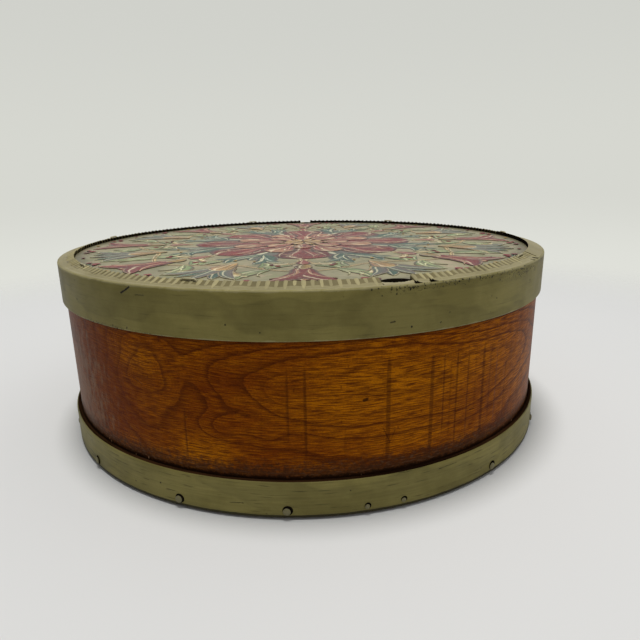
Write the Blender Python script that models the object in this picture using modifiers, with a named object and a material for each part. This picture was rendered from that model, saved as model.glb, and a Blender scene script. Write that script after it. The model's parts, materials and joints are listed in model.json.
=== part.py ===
"""Round wooden cheese box with a lift-off lid, built piece by piece.

Run it with blender --background --python part.py, or from Blender's text editor.
Lengths are in metres and +Z is up. The origin lies on the floor under the middle of the box,
-Y is the front, and angles are counted anticlockwise from +X as seen from above.

The body is a saw-kerfed sheet of wood bent round a bottom board, with a painted hoop nailed
round its foot. The lid is a painted panel held by a kerf-bent rim, whose teeth lap over the
panel's edge, and a thin bent band that slips over the top of the body.
"""

import math

import bmesh
import bpy
from mathutils import Matrix

# Lid band, a thin bent strip round the lid
LID_RADIUS = 0.1970
LID_BAND_THICKNESS = 0.0024
LID_BAND_HEIGHT = 0.0286
LID_BAND_ROUNDING = 0.0010
LID_BAND_ABOVE_RIM = 0.0003
LID_BAND_LAP = 0.0500

# Kerf-bent rim that holds the panel
RIM_WIDTH = 0.0091
RIM_RISE = 0.0037
RIM_ABOVE_PANEL = 0.0034
RIM_LIP = 0.0043
RIM_WEB = 0.0018
RIM_KERF_WIDTH = 0.0014
RIM_BUTT_GAP = 0.0008

# Painted panel in the lid
PANEL_THICKNESS = 0.0050

# Bent wall of the body
WALL_HEIGHT = 0.1333
WALL_THICKNESS = 0.0048
WALL_LAP = 0.0600
WALL_KERF_WIDTH = 0.0010
WALL_KERF_DEPTH = 0.0024

# Bottom board and the hoop round the foot
BOARD_THICKNESS = 0.0100
HOOP_THICKNESS = 0.0035
HOOP_HEIGHT = 0.0237
HOOP_LIFT = 0.0006
HOOP_ROUNDING = 0.0008
HOOP_LAP = 0.0500

# Thin end that a tapered lap runs out to
LAP_FEATHER = 0.0008

# Nails that hold hoop, wall and board together
NAIL_HEAD_RADIUS = 0.0032
NAIL_HEAD_HEIGHT = 0.0013
SMALL_NAIL_HEAD_RADIUS = 0.0021
SMALL_NAIL_HEAD_HEIGHT = 0.0008
NAIL_SHANK_RADIUS = 0.0009
NAIL_GRIP = 0.0120

# Tacks that close the laps
TACK_HEAD_RADIUS = 0.0024
TACK_HEAD_HEIGHT = 0.0008
TACK_SHANK_RADIUS = 0.0007
TACK_GRIP = 0.0040
TACK_POINT_SHOWN = 0.0005
LAP_TACK_SPREAD = 0.0120

# Wire staples that pin the rim's teeth to the panel
STAPLE_WIRE_RADIUS = 0.0006
STAPLE_GRIP = 0.0035

# Clearances
FIT_GAP = 0.0003
LID_CLEARANCE = 0.0004
CUT_OVERRUN = 0.0020

# Counts
ROUND_STEPS = 80
RIM_PITCHES = 240
WALL_KERFS = 124
HOLE_SIDES = 6
NAIL_STEPS = 8

# Places round the box, in degrees
RIM_BUTT_DEG = -32.25
RIM_PLAIN_END_DEG = 8.0
BROKEN_TEETH = ((-75.0, 3), (87.0, 2))
STAPLES_DEG = (6.75, 57.75, 108.75, 165.75, -141.75, -109.75, -38.25)
WALL_LAP_DEG = 97.25
HOOP_LAP_DEG = 74.75
LID_BAND_LAP_DEG = 132.0
FIRST_NAIL_DEG = -94.0
NAIL_WANDER_DEG = (0.0, -1.7, -2.5, 1.2, -0.8, 0.6, 1.5, -1.0, 0.4, 1.1, -1.3, 0.7, -0.5, 0.9, 0.3, 2.4)
EXTRA_NAIL_DEG = -80.0
SMALL_NAILS = (1,)

# Heights of the wall's lap tacks, as shares of the wall that shows
WALL_TACK_SHARES = (0.10, 0.36, 0.64, 0.90)

# Shares of a nail head's outline
HEAD_SHOULDER_SHARE = 0.62
HEAD_EDGE_SHARE = 0.45

# Sizes that follow from the ones above
LID_BAND_INNER = LID_RADIUS - LID_BAND_THICKNESS
RIM_OUTER = LID_BAND_INNER - FIT_GAP
RIM_INNER = RIM_OUTER - RIM_WIDTH
PANEL_RADIUS = RIM_INNER + RIM_LIP - FIT_GAP
WALL_OUTER = LID_BAND_INNER - LID_CLEARANCE
WALL_INNER = WALL_OUTER - WALL_THICKNESS
BOARD_RADIUS = WALL_INNER - FIT_GAP
HOOP_INNER = WALL_OUTER + FIT_GAP
HOOP_RADIUS = HOOP_INNER + HOOP_THICKNESS
LID_BASE = WALL_HEIGHT + FIT_GAP
RIM_CREST = PANEL_THICKNESS + RIM_ABOVE_PANEL
RIM_SHOULDER = RIM_CREST - RIM_RISE
LID_BAND_TOP = RIM_SHOULDER + LID_BAND_ABOVE_RIM
LID_BAND_FOOT = LID_BAND_TOP - LID_BAND_HEIGHT
HOOP_TOP = HOOP_LIFT + HOOP_HEIGHT
RIM_PITCH = math.tau / RIM_PITCHES
TOOTH_MIDDLE = (RIM_INNER + PANEL_RADIUS) / 2
NAIL_HEIGHT = BOARD_THICKNESS / 2


def clear_scene():
    """Remove every object that the file opened with."""
    for old in list(bpy.data.objects):
        bpy.data.objects.remove(old, do_unlink=True)


def new_collection(name):
    """Return a new collection linked to the scene."""
    made = bpy.data.collections.new(name)
    bpy.context.scene.collection.children.link(made)
    return made


def finish(name, colour, roughness, metallic=0.0):
    """Return a plain Principled material."""
    made = bpy.data.materials.new(name)
    made.use_nodes = True
    shader = made.node_tree.nodes["Principled BSDF"]
    shader.inputs["Base Color"].default_value = (*colour, 1.0)
    shader.inputs["Roughness"].default_value = roughness
    shader.inputs["Metallic"].default_value = metallic
    made.diffuse_color = (*colour, 1.0)
    return made


def at_angle(angle, radius, height):
    """Return the frame at a place on the box: its +X points outwards and its +Z up."""
    return Matrix.Rotation(angle, 4, "Z") @ Matrix.Translation((radius, 0.0, height))


def outward_frame(angle, radius, height):
    """Return the frame at a place on the box whose +Z points outwards, as a nail's does."""
    return at_angle(angle, radius, height) @ Matrix.Rotation(math.pi / 2, 4, "Y")


def arc(radius_at, start, end):
    """Return points from start to end, with facets that line up on every round piece."""
    step = math.tau / ROUND_STEPS
    low, high = min(start, end), max(start, end)
    first = math.floor(low / step) + 1
    last = math.ceil(high / step) - 1
    near = step / 10
    inner = [k * step for k in range(first, last + 1)]
    inner = [a for a in inner if a - low > near and high - a > near]
    angles = [low, *inner, high]
    if start > end:
        angles.reverse()
    return [(radius_at(a) * math.cos(a), radius_at(a) * math.sin(a)) for a in angles]


def lapped_outline(outer, inner, lap_length, lap_deg):
    """Return the plan of a bent strip whose two ends are tapered and lie one over the other.

    The strip keeps its full thickness all the way round, lap included, apart from the gap
    between the two tapers.
    """
    middle = math.radians(lap_deg)
    half = lap_length / outer / 2
    low, high = middle - half, middle + half
    end_gap = FIT_GAP / outer
    thickest = outer - inner - LAP_FEATHER - FIT_GAP

    def under(angle):
        along = ((angle - low) % math.tau) / (high - low)
        return inner + LAP_FEATHER + (thickest - LAP_FEATHER) * min(along, 1.0)

    points = arc(under, low, high)
    points += arc(lambda a: outer, high + end_gap, high + math.tau)
    points += arc(lambda a: under(a) + FIT_GAP, high, low)
    points += arc(lambda a: inner, low - end_gap + math.tau, low)
    return points


def mesh_from_curve(curve_object, collection):
    """Turn a curve object into a mesh object of the same name and place."""
    bpy.context.view_layer.update()
    graph = bpy.context.evaluated_depsgraph_get()
    mesh = bpy.data.meshes.new_from_object(curve_object.evaluated_get(graph))
    work = bmesh.new()
    work.from_mesh(mesh)
    bmesh.ops.remove_doubles(work, verts=work.verts, dist=FIT_GAP / 100)
    work.to_mesh(mesh)
    work.free()
    name = curve_object.name
    place = curve_object.matrix_world.copy()
    bpy.data.objects.remove(curve_object, do_unlink=True)
    made = bpy.data.objects.new(name, mesh)
    made.matrix_world = place
    collection.objects.link(made)
    return made


def extruded(name, outline, height, collection):
    """Return a mesh object with the given plan, standing on its origin."""
    curve = bpy.data.curves.new(name, "CURVE")
    curve.dimensions = "2D"
    curve.fill_mode = "BOTH"
    curve.extrude = height / 2
    spline = curve.splines.new("POLY")
    spline.points.add(len(outline) - 1)
    for point, (x, y) in zip(spline.points, outline):
        point.co = (x, y, height / 2, 1.0)
    spline.use_cyclic_u = True
    drawn = bpy.data.objects.new(name, curve)
    collection.objects.link(drawn)
    made = mesh_from_curve(drawn, collection)
    lowest = min(v.co.z for v in made.data.vertices)
    made.data.transform(Matrix.Translation((0.0, 0.0, -lowest)))
    return made


def turned(name, profile, steps, collection):
    """Return a mesh object turned from a profile of (radius, height) points round +Z."""
    mesh = bpy.data.meshes.new(name)
    edges = [(i, i + 1) for i in range(len(profile) - 1)]
    if profile[0][0] > 0.0:
        edges.append((len(profile) - 1, 0))
    mesh.from_pydata([(r, 0.0, z) for r, z in profile], edges, [])
    made = bpy.data.objects.new(name, mesh)
    collection.objects.link(made)
    screw = made.modifiers.new("turn", "SCREW")
    screw.angle = math.tau
    screw.steps = screw.render_steps = steps
    screw.use_merge_vertices = True
    screw.merge_threshold = FIT_GAP / 10
    screw.use_smooth_shade = True
    return made


def smooth(made, colour):
    """Give a mesh object its material, and soft shading with crisp corners."""
    made.data.materials.clear()
    made.data.materials.append(colour)
    made.data.shade_smooth()
    made.data.set_sharp_from_angle(angle=math.radians(35))
    return made


def round_outer_edge(made, radius, height, width):
    """Round the edge that a bent strip shows at this radius and height."""
    work = bmesh.new()
    work.from_mesh(made.data)
    bmesh.ops.dissolve_limit(work, angle_limit=math.radians(0.5), verts=work.verts, edges=work.edges)
    weight = work.edges.layers.float.new("bevel_weight_edge")
    reach = radius * (1.0 - math.cos(math.pi / ROUND_STEPS)) + FIT_GAP / 10
    for edge in work.edges:
        ends = edge.verts
        level = all(abs(v.co.z - height) < FIT_GAP / 10 for v in ends)
        outside = all(abs(v.co.xy.length - radius) < reach for v in ends)
        edge[weight] = float(level and outside)
    work.to_mesh(made.data)
    work.free()
    bevel = made.modifiers.new("rounding", "BEVEL")
    bevel.limit_method = "WEIGHT"
    bevel.width = width
    bevel.segments = 1
    return made


def cutter(name, collection, boxes=(), drills=()):
    """Return one cutter made of separate boxes and drills, each given by its frame and sizes."""
    work = bmesh.new()
    for frame, size in boxes:
        bmesh.ops.create_cube(work, size=1.0, matrix=frame @ Matrix.Diagonal((*size, 1.0)))
    for frame, radius, length in drills:
        bmesh.ops.create_cone(
            work, cap_ends=True, segments=HOLE_SIDES, radius1=radius, radius2=radius,
            depth=length, matrix=frame)
    mesh = bpy.data.meshes.new(name)
    work.to_mesh(mesh)
    work.free()
    made = bpy.data.objects.new(name, mesh)
    made.hide_render = True
    made.display_type = "WIRE"
    collection.objects.link(made)
    return made


def cut(made, tool):
    """Take the cutter's shapes out of a piece."""
    step = made.modifiers.new(tool.name, "BOOLEAN")
    step.operation = "DIFFERENCE"
    step.solver = "EXACT"
    step.object = tool


def slot(angle, low_radius, high_radius, low, high, width):
    """Return a box cutter's frame and size: an upright saw cut along a radius."""
    frame = at_angle(angle, (low_radius + high_radius) / 2, (low + high) / 2)
    return frame, (high_radius - low_radius, width, high - low)


def drill(angle, outer, depth, height, shank):
    """Return a drill's frame, radius and length: a level hole that starts outside a radius."""
    length = depth + FIT_GAP + CUT_OVERRUN
    middle = outer + CUT_OVERRUN - length / 2
    return outward_frame(angle, middle, height), (shank + FIT_GAP) / math.cos(math.pi / HOLE_SIDES), length


def nail_profile(head_radius, head_height, shank, length):
    """Return a nail's profile, its head's seat at zero and its point at minus the length."""
    return [
        (0.0, head_height),
        (head_radius * HEAD_SHOULDER_SHARE, head_height * (1.0 + HEAD_SHOULDER_SHARE) / 2),
        (head_radius, head_height * HEAD_EDGE_SHARE),
        (head_radius, 0.0),
        (shank, 0.0),
        (shank, 2.0 * shank - length),
        (0.0, -length),
    ]


def nail(name, profile, place, colour, collection):
    """Return one nail or tack with its head's seat at the frame's origin."""
    made = turned(name, profile, NAIL_STEPS, collection)
    made.data.materials.append(colour)
    made.matrix_world = place
    return made


def rim_kerf_angles():
    """Return the angle of each saw cut in the rim, leaving the plain end uncut."""
    plain_end = math.radians(RIM_PLAIN_END_DEG)
    last = math.radians(RIM_BUTT_DEG) + math.tau
    angles = [k * RIM_PITCH for k in range(RIM_PITCHES)]
    return [a for a in angles if plain_end < a < last]


def wall_kerf_angles():
    """Return the angle of each saw cut inside the wall, leaving the lap uncut."""
    lap = math.radians(WALL_LAP_DEG)
    clear = WALL_LAP / WALL_OUTER / 2 + math.tau / WALL_KERFS
    angles = [(k + 0.5) * math.tau / WALL_KERFS for k in range(WALL_KERFS)]
    return [a for a in angles if abs(a - lap) > clear]


def nail_places():
    """Return (angle, is_small) for every nail of the bottom hoop."""
    places = []
    for k, wander in enumerate(NAIL_WANDER_DEG):
        degrees = FIRST_NAIL_DEG + 360.0 * k / len(NAIL_WANDER_DEG) + wander
        places.append((math.radians(degrees), k in SMALL_NAILS))
    places.append((math.radians(EXTRA_NAIL_DEG), True))
    return places


def wall_tack_heights():
    """Return the heights of the tacks in the wall's lap, between the hoop and the lid band."""
    low = HOOP_TOP
    high = LID_BASE + LID_BAND_FOOT
    return [low + (high - low) * share for share in WALL_TACK_SHARES]


def hoop_tack_places():
    """Return the angle and height of the tacks in the bottom hoop's lap."""
    middle = HOOP_LIFT + HOOP_HEIGHT / 2
    angle = math.radians(HOOP_LAP_DEG)
    turn = LAP_TACK_SPREAD / HOOP_RADIUS / 2
    rise = HOOP_HEIGHT / 4
    return [(angle - turn, middle - rise), (angle + turn, middle + rise)]


def band_tack_places():
    """Return the angle and height above the lid's base of the tacks in the lid band's lap."""
    angle = math.radians(LID_BAND_LAP_DEG)
    turn = LAP_TACK_SPREAD / LID_RADIUS / 2
    return [(angle - turn, RIM_SHOULDER / 2), (angle + turn, LID_BAND_FOOT / 2)]


def staple_legs(degrees):
    """Return the angles of a staple's two legs, each in the middle of a tooth."""
    tooth = math.floor(math.radians(degrees) / RIM_PITCH) + 0.5
    return (tooth - 1.0) * RIM_PITCH, (tooth + 1.0) * RIM_PITCH


def rim_top_at(radius):
    """Return the height of the rim's sloping top above the lid's base."""
    return RIM_SHOULDER + RIM_RISE * (RIM_OUTER - radius) / RIM_WIDTH


def nail_drills():
    """Return the drills for the bottom hoop's nails, which reach into the board."""
    depth = HOOP_THICKNESS + FIT_GAP + WALL_THICKNESS + FIT_GAP + NAIL_GRIP
    return [drill(angle, HOOP_RADIUS, depth, NAIL_HEIGHT, NAIL_SHANK_RADIUS) for angle, small in nail_places()]


def make_wall(pieces, cutters, colour):
    """Make the bent wall, kerfed inside and lapped at the back."""
    outline = lapped_outline(WALL_OUTER, WALL_INNER, WALL_LAP, WALL_LAP_DEG)
    wall = extruded("wall", outline, WALL_HEIGHT, pieces)
    saw = [
        slot(angle, WALL_INNER - CUT_OVERRUN, WALL_INNER + WALL_KERF_DEPTH,
             -CUT_OVERRUN, WALL_HEIGHT + CUT_OVERRUN, WALL_KERF_WIDTH)
        for angle in wall_kerf_angles()]
    cut(wall, cutter("wall_kerf_saw", cutters, boxes=saw))
    depth = WALL_THICKNESS + CUT_OVERRUN
    lap = math.radians(WALL_LAP_DEG)
    tacks = [drill(lap, WALL_OUTER, depth, height, TACK_SHANK_RADIUS) for height in wall_tack_heights()]
    hoop_tacks = [
        drill(angle, HOOP_RADIUS, HOOP_THICKNESS + TACK_GRIP, height, TACK_SHANK_RADIUS)
        for angle, height in hoop_tack_places()]
    cut(wall, cutter("wall_drill", cutters, drills=nail_drills() + tacks + hoop_tacks))
    return smooth(wall, colour)


def make_board(pieces, cutters, colour):
    """Make the round bottom board that the wall is nailed to."""
    board = extruded("bottom_board", arc(lambda a: BOARD_RADIUS, 0.0, math.tau)[:-1], BOARD_THICKNESS, pieces)
    cut(board, cutter("board_drill", cutters, drills=nail_drills()))
    return smooth(board, colour)


def make_hoop(pieces, cutters, colour):
    """Make the painted hoop round the foot of the wall."""
    outline = lapped_outline(HOOP_RADIUS, HOOP_INNER, HOOP_LAP, HOOP_LAP_DEG)
    hoop = extruded("bottom_hoop", outline, HOOP_HEIGHT, pieces)
    round_outer_edge(hoop, HOOP_RADIUS, HOOP_HEIGHT, HOOP_ROUNDING)
    hoop.location.z = HOOP_LIFT
    tacks = [
        drill(angle, HOOP_RADIUS, HOOP_THICKNESS + CUT_OVERRUN, height, TACK_SHANK_RADIUS)
        for angle, height in hoop_tack_places()]
    cut(hoop, cutter("hoop_drill", cutters, drills=nail_drills() + tacks))
    return smooth(hoop, colour)


def make_hoop_nails(pieces, colour):
    """Make the nails that go through hoop and wall into the board."""
    length = HOOP_THICKNESS + FIT_GAP + WALL_THICKNESS + FIT_GAP + NAIL_GRIP
    large = nail_profile(NAIL_HEAD_RADIUS, NAIL_HEAD_HEIGHT, NAIL_SHANK_RADIUS, length)
    small = nail_profile(SMALL_NAIL_HEAD_RADIUS, SMALL_NAIL_HEAD_HEIGHT, NAIL_SHANK_RADIUS, length)
    for number, (angle, is_small) in enumerate(nail_places(), 1):
        place = outward_frame(angle, HOOP_RADIUS + FIT_GAP, NAIL_HEIGHT)
        nail(f"hoop_nail_{number:02d}", small if is_small else large, place, colour, pieces)


def tack_profile(length):
    """Return the profile of a lap tack of this length."""
    return nail_profile(TACK_HEAD_RADIUS, TACK_HEAD_HEIGHT, TACK_SHANK_RADIUS, length)


def make_body_tacks(pieces, colour):
    """Make the tacks in the laps of the wall and the bottom hoop."""
    lap = math.radians(WALL_LAP_DEG)
    through_wall = tack_profile(FIT_GAP + WALL_THICKNESS + TACK_POINT_SHOWN)
    for number, height in enumerate(wall_tack_heights(), 1):
        place = outward_frame(lap, WALL_OUTER + FIT_GAP, height)
        nail(f"wall_lap_tack_{number}", through_wall, place, colour, pieces)
    into_wall = tack_profile(FIT_GAP + HOOP_THICKNESS + TACK_GRIP)
    for number, (angle, height) in enumerate(hoop_tack_places(), 1):
        place = outward_frame(angle, HOOP_RADIUS + FIT_GAP, height)
        nail(f"hoop_lap_tack_{number}", into_wall, place, colour, pieces)


def make_lid_band(pieces, cutters, lid, colour):
    """Make the thin band that slips over the top of the wall."""
    outline = lapped_outline(LID_RADIUS, LID_BAND_INNER, LID_BAND_LAP, LID_BAND_LAP_DEG)
    band = extruded("lid_band", outline, LID_BAND_HEIGHT, pieces)
    round_outer_edge(band, LID_RADIUS, LID_BAND_HEIGHT, LID_BAND_ROUNDING)
    band.parent = lid
    band.location.z = LID_BAND_FOOT
    tacks = [
        drill(angle, LID_RADIUS, LID_BAND_THICKNESS + CUT_OVERRUN, LID_BASE + height, TACK_SHANK_RADIUS)
        for angle, height in band_tack_places()]
    cut(band, cutter("band_drill", cutters, drills=tacks))
    return smooth(band, colour)


def rim_profile():
    """Return the rim's section: a sloping top, and a rabbet below it for the panel's edge."""
    return [
        (RIM_OUTER, RIM_SHOULDER),
        (RIM_OUTER, 0.0),
        (RIM_INNER + RIM_LIP, 0.0),
        (RIM_INNER + RIM_LIP, PANEL_THICKNESS + FIT_GAP),
        (RIM_INNER, PANEL_THICKNESS + FIT_GAP),
        (RIM_INNER, RIM_CREST),
    ]


def rim_saw_cuts(angles, width):
    """Return the boxes that saw the rim from its inner face out to its web."""
    low = LID_BASE - CUT_OVERRUN
    high = LID_BASE + RIM_CREST + CUT_OVERRUN
    return [
        slot(angle, RIM_INNER - CUT_OVERRUN, RIM_OUTER - RIM_WEB, low, high, width)
        for angle in angles]


def staple_drills():
    """Return the upright drills for the staples' legs."""
    bore = (STAPLE_WIRE_RADIUS + FIT_GAP) / math.cos(math.pi / HOLE_SIDES)
    foot = PANEL_THICKNESS - STAPLE_GRIP - FIT_GAP
    length = RIM_CREST + CUT_OVERRUN - foot
    middle = LID_BASE + foot + length / 2
    return [
        (at_angle(leg, TOOTH_MIDDLE, middle), bore, length)
        for degrees in STAPLES_DEG for leg in staple_legs(degrees)]


def make_rim(pieces, cutters, lid, colour):
    """Make the kerf-bent rim: a turned ring, sawn from inside into teeth on a thin web."""
    rim = turned("kerfed_rim", rim_profile(), ROUND_STEPS, pieces)
    rim.parent = lid
    cut(rim, cutter("rim_kerf_saw", cutters, boxes=rim_saw_cuts(rim_kerf_angles(), RIM_KERF_WIDTH)))
    low = LID_BASE - CUT_OVERRUN
    high = LID_BASE + RIM_CREST + CUT_OVERRUN
    butt = slot(math.radians(RIM_BUTT_DEG), RIM_INNER - CUT_OVERRUN, RIM_OUTER + CUT_OVERRUN,
                low, high, RIM_BUTT_GAP)
    cut(rim, cutter("rim_butt_saw", cutters, boxes=[butt]))
    broken = []
    for degrees, teeth in BROKEN_TEETH:
        angle = math.radians(degrees) + teeth * RIM_PITCH / 2
        broken += rim_saw_cuts([angle], teeth * RIM_PITCH * RIM_INNER)
    cut(rim, cutter("broken_teeth", cutters, boxes=broken))
    (angle, height), _ = band_tack_places()
    tack = drill(angle, LID_RADIUS, LID_BAND_THICKNESS + FIT_GAP + TACK_GRIP, LID_BASE + height, TACK_SHANK_RADIUS)
    cut(rim, cutter("rim_drill", cutters, drills=[*staple_drills(), tack]))
    return smooth(rim, colour)


def make_panel(pieces, cutters, lid, colour):
    """Make the round panel that lies under the rim's teeth."""
    panel = extruded("lid_panel", arc(lambda a: PANEL_RADIUS, 0.0, math.tau)[:-1], PANEL_THICKNESS, pieces)
    panel.parent = lid
    cut(panel, cutter("panel_drill", cutters, drills=staple_drills()))
    return smooth(panel, colour)


def make_staple(name, degrees, pieces, lid, colour):
    """Make one wire staple: a crown that lies along the rim and two legs down into the panel."""
    first, last = staple_legs(degrees)
    seat = rim_top_at(TOOTH_MIDDLE) + STAPLE_WIRE_RADIUS + FIT_GAP
    foot = PANEL_THICKNESS - STAPLE_GRIP
    spots = [(first, foot), (first, seat), (last, seat), (last, foot)]
    curve = bpy.data.curves.new(name, "CURVE")
    curve.dimensions = "3D"
    curve.bevel_depth = STAPLE_WIRE_RADIUS
    curve.bevel_resolution = 1
    curve.use_fill_caps = True
    spline = curve.splines.new("POLY")
    spline.points.add(len(spots) - 1)
    for point, (angle, height) in zip(spline.points, spots):
        point.co = (*(at_angle(angle, TOOTH_MIDDLE, height).translation), 1.0)
    spline.use_smooth = False
    made = bpy.data.objects.new(name, curve)
    made.data.materials.append(colour)
    made.parent = lid
    pieces.objects.link(made)
    return made


def make_band_tacks(pieces, lid, colour):
    """Make the two tacks in the lid band's lap: one into the rim, one through the band alone."""
    lengths = (FIT_GAP + LID_BAND_THICKNESS + TACK_GRIP, FIT_GAP + LID_BAND_THICKNESS)
    for number, ((angle, height), length) in enumerate(zip(band_tack_places(), lengths), 1):
        place = outward_frame(angle, LID_RADIUS + FIT_GAP, height)
        made = nail(f"band_lap_tack_{number}", tack_profile(length), place, colour, pieces)
        made.parent = lid


def main():
    """Build the whole box, lid on."""
    clear_scene()
    pieces = new_collection("cheese_box")
    cutters = new_collection("cutters")
    varnished = finish("varnished_wood", (0.20, 0.075, 0.018), 0.35)
    bare = finish("bare_wood", (0.34, 0.22, 0.12), 0.75)
    green = finish("olive_paint", (0.13, 0.12, 0.052), 0.55)
    ground = finish("painted_panel", (0.31, 0.29, 0.20), 0.5)
    iron = finish("dark_iron", (0.07, 0.06, 0.045), 0.5, 0.8)
    steel = finish("dull_steel", (0.25, 0.23, 0.20), 0.4, 0.9)

    make_wall(pieces, cutters, varnished)
    make_board(pieces, cutters, bare)
    make_hoop(pieces, cutters, green)
    make_hoop_nails(pieces, iron)
    make_body_tacks(pieces, iron)

    lid = bpy.data.objects.new("lid_lift", None)
    lid.location.z = LID_BASE
    pieces.objects.link(lid)
    make_lid_band(pieces, cutters, lid, green)
    make_rim(pieces, cutters, lid, green)
    make_panel(pieces, cutters, lid, ground)
    for number, degrees in enumerate(STAPLES_DEG, 1):
        make_staple(f"rim_staple_{number}", degrees, pieces, lid, steel)
    make_band_tacks(pieces, lid, iron)


main()
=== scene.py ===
"""Looks of a round wooden cheese box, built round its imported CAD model.

Lengths are in metres and +Z is up. The origin lies on the floor under the middle of the box,
-Y is the front, and angles are counted anticlockwise from +X as seen from above.
"""

from __future__ import annotations

import json
import logging
import math
import random
from collections.abc import Callable, Iterable, Sequence
from dataclasses import dataclass, field, replace
from enum import Enum

import bmesh
import bpy
import numpy as np
from mathutils import Matrix, Vector

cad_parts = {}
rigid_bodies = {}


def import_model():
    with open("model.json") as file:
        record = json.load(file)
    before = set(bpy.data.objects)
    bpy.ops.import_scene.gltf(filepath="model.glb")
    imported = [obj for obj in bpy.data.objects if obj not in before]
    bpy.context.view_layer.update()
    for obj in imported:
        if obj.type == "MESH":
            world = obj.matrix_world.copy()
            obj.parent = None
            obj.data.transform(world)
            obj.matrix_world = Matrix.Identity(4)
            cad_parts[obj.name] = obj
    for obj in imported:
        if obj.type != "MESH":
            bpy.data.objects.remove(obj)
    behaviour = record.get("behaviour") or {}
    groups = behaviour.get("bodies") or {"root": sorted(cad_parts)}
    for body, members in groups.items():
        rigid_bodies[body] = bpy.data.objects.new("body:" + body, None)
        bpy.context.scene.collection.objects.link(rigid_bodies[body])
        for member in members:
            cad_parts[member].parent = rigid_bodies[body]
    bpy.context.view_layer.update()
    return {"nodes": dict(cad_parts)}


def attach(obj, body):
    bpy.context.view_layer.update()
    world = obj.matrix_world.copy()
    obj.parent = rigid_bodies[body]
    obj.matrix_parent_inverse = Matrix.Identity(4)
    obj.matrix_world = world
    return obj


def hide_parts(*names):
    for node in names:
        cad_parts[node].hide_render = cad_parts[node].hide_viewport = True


log = logging.getLogger("cheese_box")

Colour = tuple[float, float, float]
Socket = bpy.types.NodeSocket
Input = Socket | float | tuple[float, ...]
Point = tuple[float, float]

MM = 0.001


def screen(red: float, green: float, blue: float) -> Colour:
    """Return the linear colour of one read off a screen.

    Args:
        red: Red level, 0 to 255.
        green: Green level, 0 to 255.
        blue: Blue level, 0 to 255.

    Returns:
        The linear colour.
    """
    levels = (level / 255.0 for level in (red, green, blue))
    return tuple(c / 12.92 if c <= 0.04045 else ((c + 0.055) / 1.055) ** 2.4 for c in levels)


# Recipes for node trees


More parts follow.
